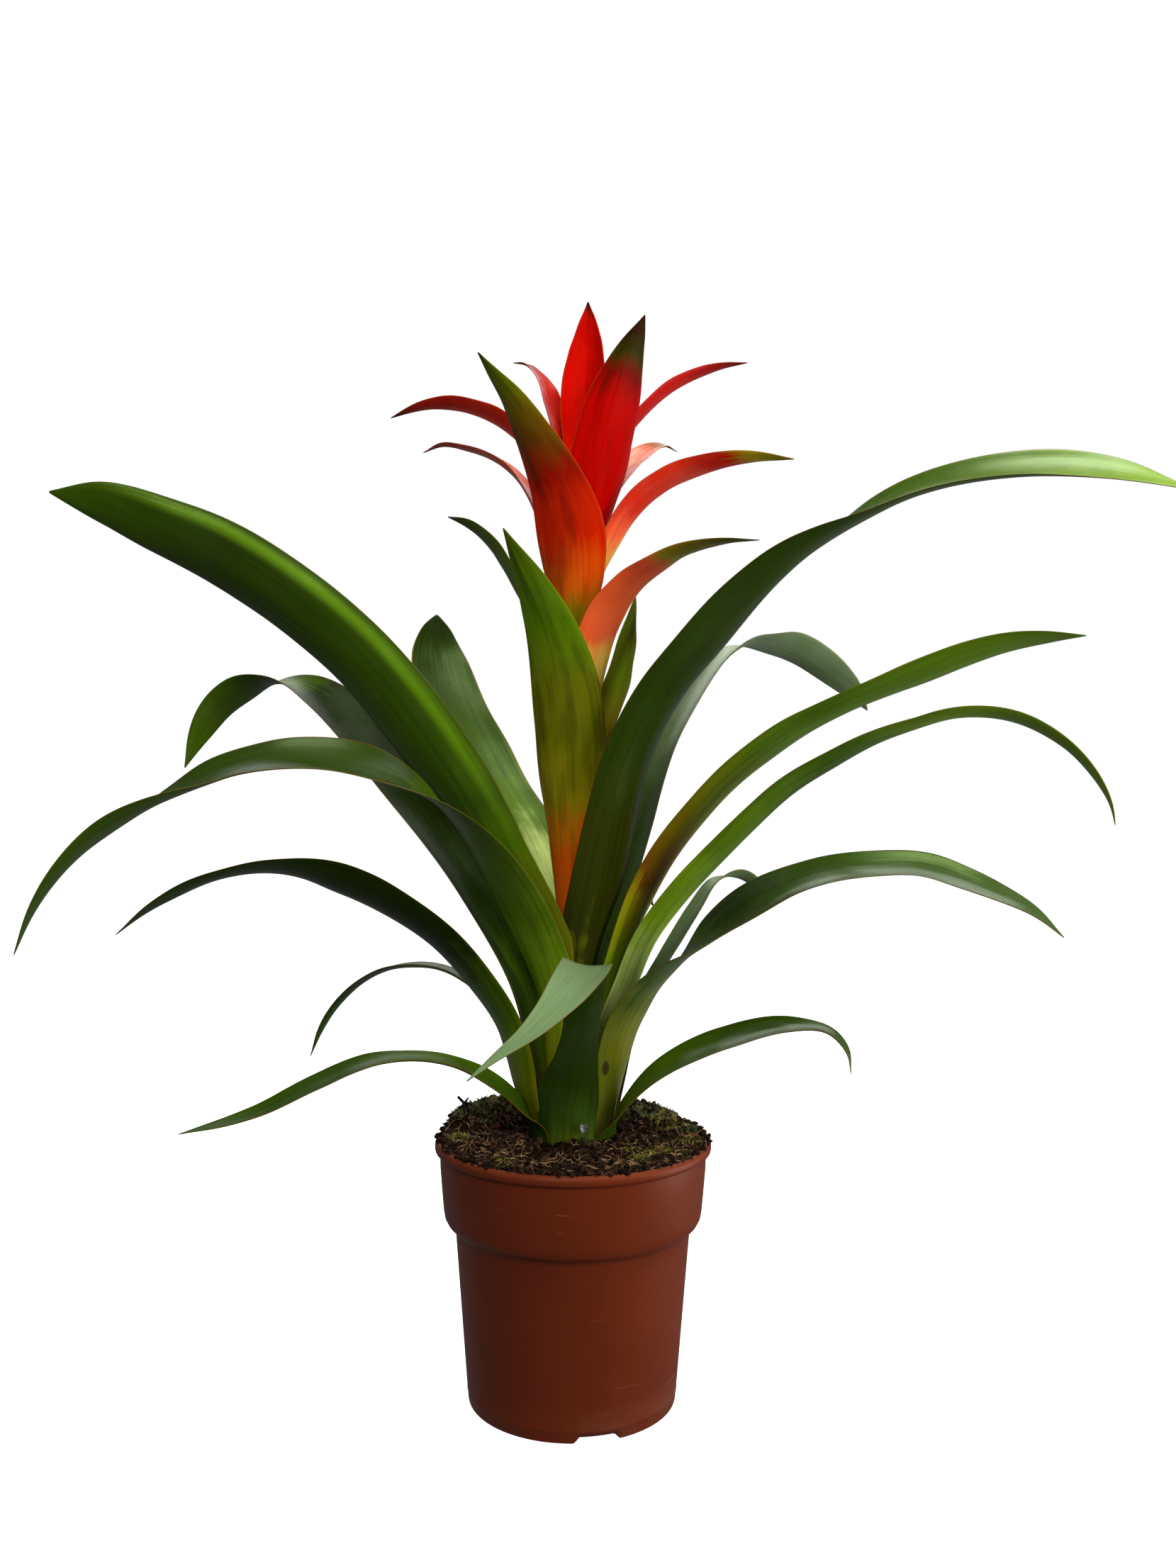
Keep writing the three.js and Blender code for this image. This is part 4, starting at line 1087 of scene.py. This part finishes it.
def mould_pot():
    """The pot, with the notches lifted out of its foot ring and the drain holes drilled."""
    form = spun(pot_profile(), POT_SIDES)
    for vertex in form.verts:
        radius, height = math.hypot(vertex.co.x, vertex.co.y) / MM, vertex.co.z / MM
        if radius > FOOT_RADIUS - FOOT_RING_WIDTH - 0.5 and height < NOTCH_DEPTH:
            lift = notch_lift(math.degrees(math.atan2(vertex.co.y, vertex.co.x)))
            vertex.co.z = max(height, lift) * MM
    mesh = mesh_from(form, "pot")
    piece = finished_piece("pot_moulded", mesh, [pot_finish()], "pot_plastic", "pot")
    drills = bmesh.new()
    for i in range(DRAIN_HOLES):
        place = from_axis(DRAIN_CIRCLE_RADIUS, 360 / DRAIN_HOLES * i, BASE_UNDERSIDE)
        bmesh.ops.create_cone(
            drills, cap_ends=True, segments=DRILL_SIDES, radius1=DRAIN_HOLE_RADIUS * MM,
            radius2=DRAIN_HOLE_RADIUS * MM, depth=8 * MM, matrix=Matrix.Translation(place),
        )
    drill = bpy.data.objects.new("drill", mesh_from(drills, "drill"))
    bpy.context.scene.collection.objects.link(drill)
    holes = piece.modifiers.new("drain holes", "BOOLEAN")
    holes.object = drill
    holes.operation = "DIFFERENCE"
    apply_modifiers(piece)
    bpy.data.objects.remove(drill)


def apply_modifiers(piece):
    """Writes the piece's modifiers into its mesh."""
    ready = piece.evaluated_get(bpy.context.evaluated_depsgraph_get())
    mesh = bpy.data.meshes.new_from_object(ready)
    piece.modifiers.clear()
    piece.data = mesh


def pot_finish():
    """Matt moulded plastic: faint flow marks and grain, a painted highlight along the lip, scuffs and a dusty
    foot.
    """
    finish = Finish("moulded plastic", ior=1.47, specular_ior_level=0.2, specular_tint=(1, 0.6, 0.45, 1))
    where = finish.place()
    height = finish.part(where, 2)
    clouds = finish.grain(where, 28.0, 4.0)
    grain = finish.grain(where, 900.0, 2.0)
    flow = finish.grain(finish.stretched(where, (60, 60, 9)), 1.0, 3.0)
    clay = finish.blend(finish.band(clouds, 0.35, 0.7) * 0.5, pigment(94, 35, 13), pigment(84, 30, 11))
    # Painted highlight: the top 3 mm of the lip is painted paler, for the light falling on it.
    lip_highlight = finish.band(height, (POT_HEIGHT - 3) * MM, (POT_HEIGHT - 0.5) * MM)
    clay = finish.blend(lip_highlight * 0.5, clay, pigment(118, 52, 28))
    scratches = finish.grain(finish.stretched(where, (50, 50, 900), (0.2, 0.1, 0.3)), 1.0, 1.0)
    patches = finish.grain(where, 22.0, 2.0)
    scuff = finish.band(scratches, 0.68, 0.74) * finish.band(patches, 0.55, 0.7)
    clay = finish.blend(scuff * 0.4, clay, pigment(150, 92, 70))
    dust = (1 - finish.band(height, 0.0, 0.018)) * finish.band(clouds, 0.4, 0.75)
    clay = finish.blend(dust * 0.3, clay, pigment(110, 84, 68))
    roughness = 0.46 + (flow - 0.5) * 0.12 + scuff * 0.2 + dust * 0.2
    relief = finish.bump(flow, 0.0004, 0.25)
    relief = finish.bump(grain, 0.00004, 0.4, relief)
    return finish.dress(base_color=clay, roughness=roughness, normal=relief)


def mounded(x, y, mounds):
    """Height that round mounds add at a place."""
    height = 0.0
    for azimuth, reach, rise, spread in mounds:
        top = from_axis(reach, azimuth, 0) / MM
        height += rise * math.exp(-((x - top.x) ** 2 + (y - top.y) ** 2) / (2 * spread**2))
    return height


def soil_height(x, y):
    """Surface of the packed soil in millimetres, with its low mounds."""
    distance = math.hypot(x, y)
    share = (distance - SOIL_HOLE_RADIUS) / (COLLAR_TOP_RADIUS - SOIL_HOLE_RADIUS)
    height = lerp(SOIL_HOLE_EDGE_HEIGHT, SOIL_RIM_HEIGHT, share)
    inner = smoothstep(distance, SOIL_HOLE_RADIUS, SOIL_HOLE_RADIUS + 8)
    uneven = 0.9 * math.sin(0.31 * x + 1.3) * math.cos(0.27 * y) + 0.6 * math.sin(0.19 * (x - 2 * y))
    return height + mounded(x, y, SOIL_MOUNDS) + uneven * inner


def crumbled(x, y):
    """Height of the crumbs over the smooth soil surface."""
    place = Vector((x, y, 0))
    crumbs = 0.55 - noise.voronoi(place * 0.42)[0][0]
    clods = 1.2 * noise.fractal(place * 0.16, 1.0, 2.0, 4) + 0.8 * noise.fractal(place * 0.6, 0.9, 2.1, 3)
    return clods + 1.5 * crumbs


def soil_top(x, y):
    """Loose surface: fuller than the packed soil towards the rim, with heaps and crumbs."""
    distance = math.hypot(x, y)
    height = soil_height(x, y) + RIM_FILL * smoothstep(distance, RIM_FILL_FROM, RIM_FILL_TO)
    height += mounded(x, y, LOOSE_HEAPS)
    height += crumbled(x, y) * (1 - 0.6 * smoothstep(distance, CALM_FROM, LIP_SLOPE_FROM))
    if distance > LIP_SLOPE_FROM:
        height = max(lerp(height, POT_HEIGHT, (distance - LIP_SLOPE_FROM) / LIP_SLOPE), POT_HEIGHT)
    return height


def fill_soil():
    """The soil inside the pot, its open surface laid at the loose soil's height."""
    wall = POT_WALL + SOIL_GAP
    floor = BASE_UNDERSIDE + wall
    width = LOOSE_EDGE_RADIUS - LOOSE_HOLE_RADIUS
    rings = [LOOSE_HOLE_RADIUS + i * width / SOIL_RINGS for i in range(SOIL_RINGS, -1, -1)]
    profile = [
        (0, floor), (FOOT_RADIUS - wall, floor), (BODY_TOP_RADIUS - wall - 0.1, BODY_TOP + 1.3),
        (COLLAR_BOTTOM_RADIUS - wall - 1.2, COLLAR_BOTTOM + 0.8),
        (COLLAR_BOTTOM_RADIUS - wall - 0.2, COLLAR_BOTTOM + 3.2),
        (COLLAR_TOP_RADIUS - wall - 0.3, SOIL_RIM_HEIGHT - 2),
        *((radius, SOIL_RIM_HEIGHT) for radius in rings),
        (LOOSE_HOLE_RADIUS, SOIL_HOLE_FLOOR), (0, SOIL_HOLE_FLOOR),
    ]
    form = spun(profile, SOIL_SIDES)
    for vertex in form.verts:
        if vertex.co.z < (SOIL_RIM_HEIGHT - 0.5) * MM:
            continue
        vertex.co.z = soil_top(vertex.co.x / MM, vertex.co.y / MM) * MM
    finished_piece("soil_packed", mesh_from(form, "soil"), [soil_finish("peat", 0)], "potting_soil", "soil")


def soil_finish(name, reddish):
    """Peat and coir: dark brown, with paler fibres and bits and a green film in places."""
    finish = Finish(name, ior=1.4, specular_ior_level=0.08)
    where = finish.place()
    bits = finish.grain(where, 520.0, 4.0, 0.7)
    clumps = finish.grain(where, 110.0, 4.0)
    stops = (
        (0.36, pigment(8, 5, 3)), (0.5, pigment(26, 16, 10)), (0.6, pigment(70, 46, 29)),
        (0.74, pigment(150, 112, 76)),
    )
    earth = finish.node("ValToRGB", {"stops": stops}, {0: bits * 0.7 + clumps * 0.3})
    film = finish.band(finish.grain(where, 42.0, 3.0), 0.54, 0.66)
    earth = finish.blend(film * (0.45 - reddish * 0.45), earth, pigment(62, 66, 30))
    earth = finish.blend(reddish * 0.45, earth, pigment(116, 66, 48))
    relief = finish.bump(bits + clumps, 0.0012, 0.9)
    return finish.dress(base_color=earth, roughness=0.85 + (bits - 0.5) * 0.2, normal=relief)


def strand_finish(name, dark, pale):
    """Thin dry or living strands, in two tones that change from one to the next."""
    finish = Finish(name, ior=1.4, specular_ior_level=0.15)
    where = finish.place()
    tone = finish.band(finish.grain(where, 260.0, 2.0), 0.4, 0.62)
    return finish.dress(base_color=finish.blend(tone, dark, pale), roughness=0.7 + tone * 0.15)


def strands_mesh(name, paths, thickness):
    """Thin strands in one mesh, each along a path of places in millimetres and relative radii."""
    curve = bpy.data.curves.new(name, "CURVE")
    curve.dimensions = "3D"
    curve.bevel_depth = thickness / 2 * MM
    curve.bevel_resolution = 0
    curve.use_fill_caps = True
    for path in paths:
        spline = curve.splines.new("POLY")
        spline.points.add(len(path) - 1)
        for point, (place, size) in zip(spline.points, path):
            point.co = (*(Vector(place) * MM), 1)
            point.radius = size
    holder = bpy.data.objects.new(name, curve)
    bpy.context.scene.collection.objects.link(holder)
    mesh = bpy.data.meshes.new_from_object(holder.evaluated_get(bpy.context.evaluated_depsgraph_get()))
    bpy.data.objects.remove(holder)
    bpy.data.curves.remove(curve)
    return mesh


def scatter(luck, count, inner, outer):
    """Random places on the soil between two radii."""
    for _ in range(count):
        distance = math.sqrt(luck.uniform(inner**2, outer**2))
        angle = luck.uniform(0, math.tau)
        yield distance * math.cos(angle), distance * math.sin(angle)


def lumps_mesh(name, luck, places, small, large):
    """Rough flattened lumps lying on the soil."""
    form = bmesh.new()
    for x, y in places:
        size = lerp(small, large, luck.random() ** 2.5)
        turn = Matrix.Rotation(luck.uniform(0, 6), 4, "Z") @ Matrix.Rotation(luck.uniform(-0.7, 0.7), 4, "X")
        spot = Matrix.Translation(Vector((x, y, soil_top(x, y) + size * 0.2)) * MM)
        flat = Matrix.Diagonal((1, luck.uniform(0.5, 1), luck.uniform(0.35, 0.8), 1))
        bmesh.ops.create_icosphere(form, subdivisions=1, radius=size * MM, matrix=spot @ turn @ flat)
    for vertex in form.verts:
        vertex.co += noise.noise_vector(vertex.co * 1400) * 0.3 * MM
    return mesh_from(form, name)


def fibre(luck, x, y, length, rise):
    """A wavy thread lying on the soil from x, y, its far end lifted by rise millimetres."""
    heading = luck.uniform(0, math.tau)
    bend = luck.uniform(-0.5, 0.5)
    path = []
    for step in range(THREAD_STEPS + 1):
        share = step / THREAD_STEPS
        distance = math.hypot(x, y)
        if distance > THREAD_REACH:
            x, y = x * THREAD_REACH / distance, y * THREAD_REACH / distance
        path.append(((x, y, soil_top(x, y) + 0.25 + rise * share**2), 1 - 0.5 * share))
        heading += bend + luck.uniform(-0.35, 0.35)
        x += math.cos(heading) * length / THREAD_STEPS
        y += math.sin(heading) * length / THREAD_STEPS
    return path


def moss_paths(luck, clumps):
    """Short sprigs that stand outwards and up from their clumps."""
    paths = []
    for x, y, reach in clumps:
        for _ in range(int(reach**2 * SPRIGS_PER_SQUARE)):
            away = reach * math.sqrt(luck.random())
            angle = luck.uniform(0, math.tau)
            foot = Vector((x + away * math.cos(angle), y + away * math.sin(angle), 0))
            distance = math.hypot(foot.x, foot.y)
            if not LOOSE_HOLE_RADIUS + 1.5 < distance < MOSS_REACH:
                continue
            foot.z = soil_top(foot.x, foot.y) - 0.3
            lean = Vector((luck.uniform(-1, 1), luck.uniform(-1, 1), luck.uniform(0.3, 1.4))).normalized()
            length = luck.uniform(1.2, 3.2) * (1.2 - 0.5 * away / reach)
            middle = foot + lean * length * 0.5
            tip = foot + lean * length + Vector((luck.uniform(-0.6, 0.6), luck.uniform(-0.6, 0.6), -0.2))
            paths.append(((foot, 1), (middle, 0.8), (tip, 0.25)))
    return paths


def strew_lumps(luck):
    crumbs = [
        *scatter(luck, 900, LOOSE_HOLE_RADIUS + 0.8, 57), *scatter(luck, 200, LOOSE_HOLE_RADIUS, 25),
        *scatter(luck, 520, 55.6, 59.3),
    ]
    mesh = lumps_mesh("crumbs", luck, crumbs, 0.4, 2.0)
    finished_piece("soil_crumbs", mesh, [soil_finish("crumbs", 0)], "potting_soil")
    bark = [*scatter(luck, 7, 24, 55), *BARK_PLACES]
    mesh = lumps_mesh("bark", luck, bark, 1.2, 3.4)
    finished_piece("bark_bits", mesh, [soil_finish("bark", 1)], "potting_soil")


def strew_threads(luck):
    """Coir threads all over the soil, and more of them at the front right."""
    paths = []
    for x, y in scatter(luck, 460, 22, 56):
        paths.append(fibre(luck, x, y, luck.uniform(4, 15), max(0, luck.uniform(-4, 3))))
    for x, y in scatter(luck, 90, 44, 57):
        if x > 5 and y < 0:
            paths.append(fibre(luck, x, y, luck.uniform(5, 11), luck.uniform(0, 2)))
    threads = strand_finish("coir", pigment(62, 40, 25), pigment(172, 134, 96))
    finished_piece("coir_threads", strands_mesh("threads", paths, 0.34), [threads], "potting_soil")


def lay_twigs():
    wood = strand_finish("twig wood", pigment(30, 18, 12), pigment(62, 44, 32))
    finished_piece("twigs", strands_mesh("twigs", TWIGS, TWIG_THICKNESS), [wood], "potting_soil")


def lay_dry_skin():
    """A crumpled scrap of old leaf skin that stands against the front leaf's foot."""
    form = bmesh.new()
    upright = Matrix.Translation(Vector(DRY_SKIN_PLACE) * MM) @ Matrix.Rotation(math.radians(96), 4, "X")
    bmesh.ops.create_circle(
        form, cap_ends=False, cap_tris=False, segments=20, radius=DRY_SKIN_RADIUS * MM, matrix=upright,
    )
    bmesh.ops.triangle_fill(form, use_beauty=True, edges=form.edges[:])
    bmesh.ops.subdivide_edges(form, edges=form.edges[:], cuts=2, use_grid_fill=True)
    for vertex in form.verts:
        vertex.co += noise.noise_vector(vertex.co * 500) * 2.0 * MM
    bmesh.ops.solidify(form, geom=form.faces[:], thickness=0.12 * MM)
    bmesh.ops.recalc_face_normals(form, faces=form.faces)
    skin = strand_finish("dry skin", pigment(96, 92, 80), pigment(178, 178, 170))
    finished_piece("dry_skin", mesh_from(form, "dry skin"), [skin], "potting_soil")


def grow_moss(luck):
    grey_moss = strand_finish("grey moss", pigment(46, 52, 26), pigment(128, 134, 84))
    mesh = strands_mesh("grey moss", moss_paths(luck, GREY_MOSS), 0.5)
    finished_piece("moss_grey_green", mesh, [grey_moss], "potting_soil")
    gold_moss = strand_finish("golden moss", pigment(58, 60, 14), pigment(146, 138, 56))
    mesh = strands_mesh("golden moss", moss_paths(luck, GOLDEN_MOSS), 0.42)
    finished_piece("moss_yellow_green", mesh, [gold_moss], "potting_soil")


def strew_soil():
    """Loose bits on the soil: crumbs, bark, coir threads, twigs, a scrap of dry skin and moss."""
    luck = random.Random(PLACES_SEED)
    noise.seed_set(ROUGHNESS_SEED)
    strew_lumps(luck)
    strew_threads(luck)
    lay_twigs()
    lay_dry_skin()
    grow_moss(luck)


def grow_stem():
    """The rootstock in the soil's hole and the flower stalk above it."""
    foot = SOIL_HOLE_FLOOR + SOIL_GAP
    profile = [
        (0, foot), (ROOTSTOCK_RADIUS - 0.6, foot), (19.0, LOWEST_BASE - 0.6),
        (15, 112), (10, 124), (6.1, ROOTSTOCK_TOP),
        *((stalk_radius(height), height) for height in range(ROOTSTOCK_TOP + 6, STALK_TOP - 3, 6)),
        (STALK_RADIUS_HIGH, STALK_TOP - 3), (STALK_RADIUS_HIGH * 0.6, STALK_TOP - 0.6), (0, STALK_TOP),
    ]
    form = spun(profile, STEM_SIDES)
    finished_piece("stem_grown", mesh_from(form, "stem"), [stem_finish()], "stem_tissue", "stem")


def stem_finish():
    """Pale green at the rootstock to red at the top, with fine lengthwise lines."""
    finish = Finish("stalk skin", ior=1.45)
    where = finish.place()
    lines = finish.grain(finish.stretched(where, (700, 700, 20)), 1.0, 2.0)
    share = finish.node("MapRange", None, {"Value": finish.part(where, 2), "From Min": 0.13, "From Max": 0.4})
    stops = ((0, PALE_GREEN), (0.5, YELLOW_OLIVE), (0.8, ORANGE), (1, FLAME))
    skin = finish.node("ValToRGB", {"stops": stops}, {0: share})
    skin = finish.blend(finish.band(lines, 0.45, 0.7) * 0.35, skin, OLIVE)
    relief = finish.bump(lines, 0.0001, 0.5)
    return finish.dress(base_color=skin, roughness=0.5 + (lines - 0.5) * 0.2, normal=relief)


def lay_floor():
    """White paper that throws no light back on the plant."""
    form = bmesh.new()
    bmesh.ops.create_circle(form, cap_ends=True, segments=96, radius=30.0)
    floor = bpy.data.objects.new("floor", mesh_from(form, "floor"))
    bpy.context.scene.collection.objects.link(floor)
    paper = Finish("floor paper")
    where = paper.place()
    tone = paper.blend(paper.grain(where, 3.0, 2.0) * 0.3, (0.93, 0.93, 0.93, 1), (0.9, 0.9, 0.9, 1))
    paper.shader.inputs["Emission Color"].default_value = (1, 1, 1, 1)
    paper.shader.inputs["Emission Strength"].default_value = 1.0
    floor.data.materials.append(paper.dress(base_color=tone, roughness=0.9 + paper.grain(where, 60.0) * 0.05))
    floor.visible_diffuse = False
    floor.visible_glossy = False


def light_room():
    """A white backdrop for the camera, and a dim even room for everything else."""
    world = bpy.data.worlds.new("studio")
    bpy.context.scene.world = world
    world.use_nodes = True
    nodes, links = world.node_tree.nodes, world.node_tree.links
    backdrop = nodes["Background"]
    backdrop.inputs["Color"].default_value = (1, 1, 1, 1)
    room = nodes.new("ShaderNodeBackground")
    room.inputs["Color"].default_value = (0.97, 0.98, 1, 1)
    room.inputs["Strength"].default_value = 0.2
    seen = nodes.new("ShaderNodeLightPath")
    either = nodes.new("ShaderNodeMixShader")
    links.new(seen.outputs["Is Camera Ray"], either.inputs[0])
    links.new(room.outputs[0], either.inputs[1])
    links.new(backdrop.outputs[0], either.inputs[2])
    links.new(either.outputs[0], nodes["World Output"].inputs[0])


def softbox(name, place, aim_height, power, width, height):
    """A rectangular lamp turned to a point on the plant's axis, which the camera doesn't see."""
    light = bpy.data.lights.new(name, "AREA")
    light.energy = power
    light.shape = "RECTANGLE"
    light.size = width
    light.size_y = height
    holder = bpy.data.objects.new(name, light)
    holder.location = place
    aim = Vector((0, 0, aim_height)) - Vector(place)
    holder.rotation_euler = aim.to_track_quat("-Z", "Y").to_euler()
    holder.visible_camera = False
    bpy.context.scene.collection.objects.link(holder)
    return holder


def hang_lamps():
    softbox("overhead softbox", (0.2, -0.05, 1.2), 0.3, 10, 0.45, 0.45)
    softbox("back softbox", (0.1, 1.0, 1.0), 0.3, 7, 1.6, 0.5)
    softbox("bounce card", (0.62, -0.05, 0.1), 0.3, 3, 0.4, 0.3)
    softbox("fill softbox", (-0.15, -1.15, 1.0), 0.4, 8, 0.4, 0.4)
    key = softbox("key softbox", (1.1, -1.0, 0.6), 0.3, 14, 0.6, 0.9)
    key.visible_glossy = False


def place_camera():
    camera = bpy.data.cameras.new("camera")
    camera.sensor_width = SENSOR
    camera.lens = SENSOR * FOCAL_PIXELS / PHOTO_HEIGHT_PIXELS
    camera.clip_start = 0.05
    holder = bpy.data.objects.new("camera", camera)
    level = Matrix.Rotation(math.radians(90) - CAMERA_DIP, 4, "X")
    holder.matrix_world = Matrix.Translation(CAMERA_PLACE) @ level @ Matrix.Rotation(CAMERA_ROLL, 4, "Z")
    bpy.context.scene.collection.objects.link(holder)
    bpy.context.scene.camera = holder


bpy.context.scene.view_settings.view_transform = "Standard"
lay_floor()
light_room()
hang_lamps()
place_camera()
mould_pot()
fill_soil()
strew_soil()
grow_stem()
grow_leaves()
grow_bracts()
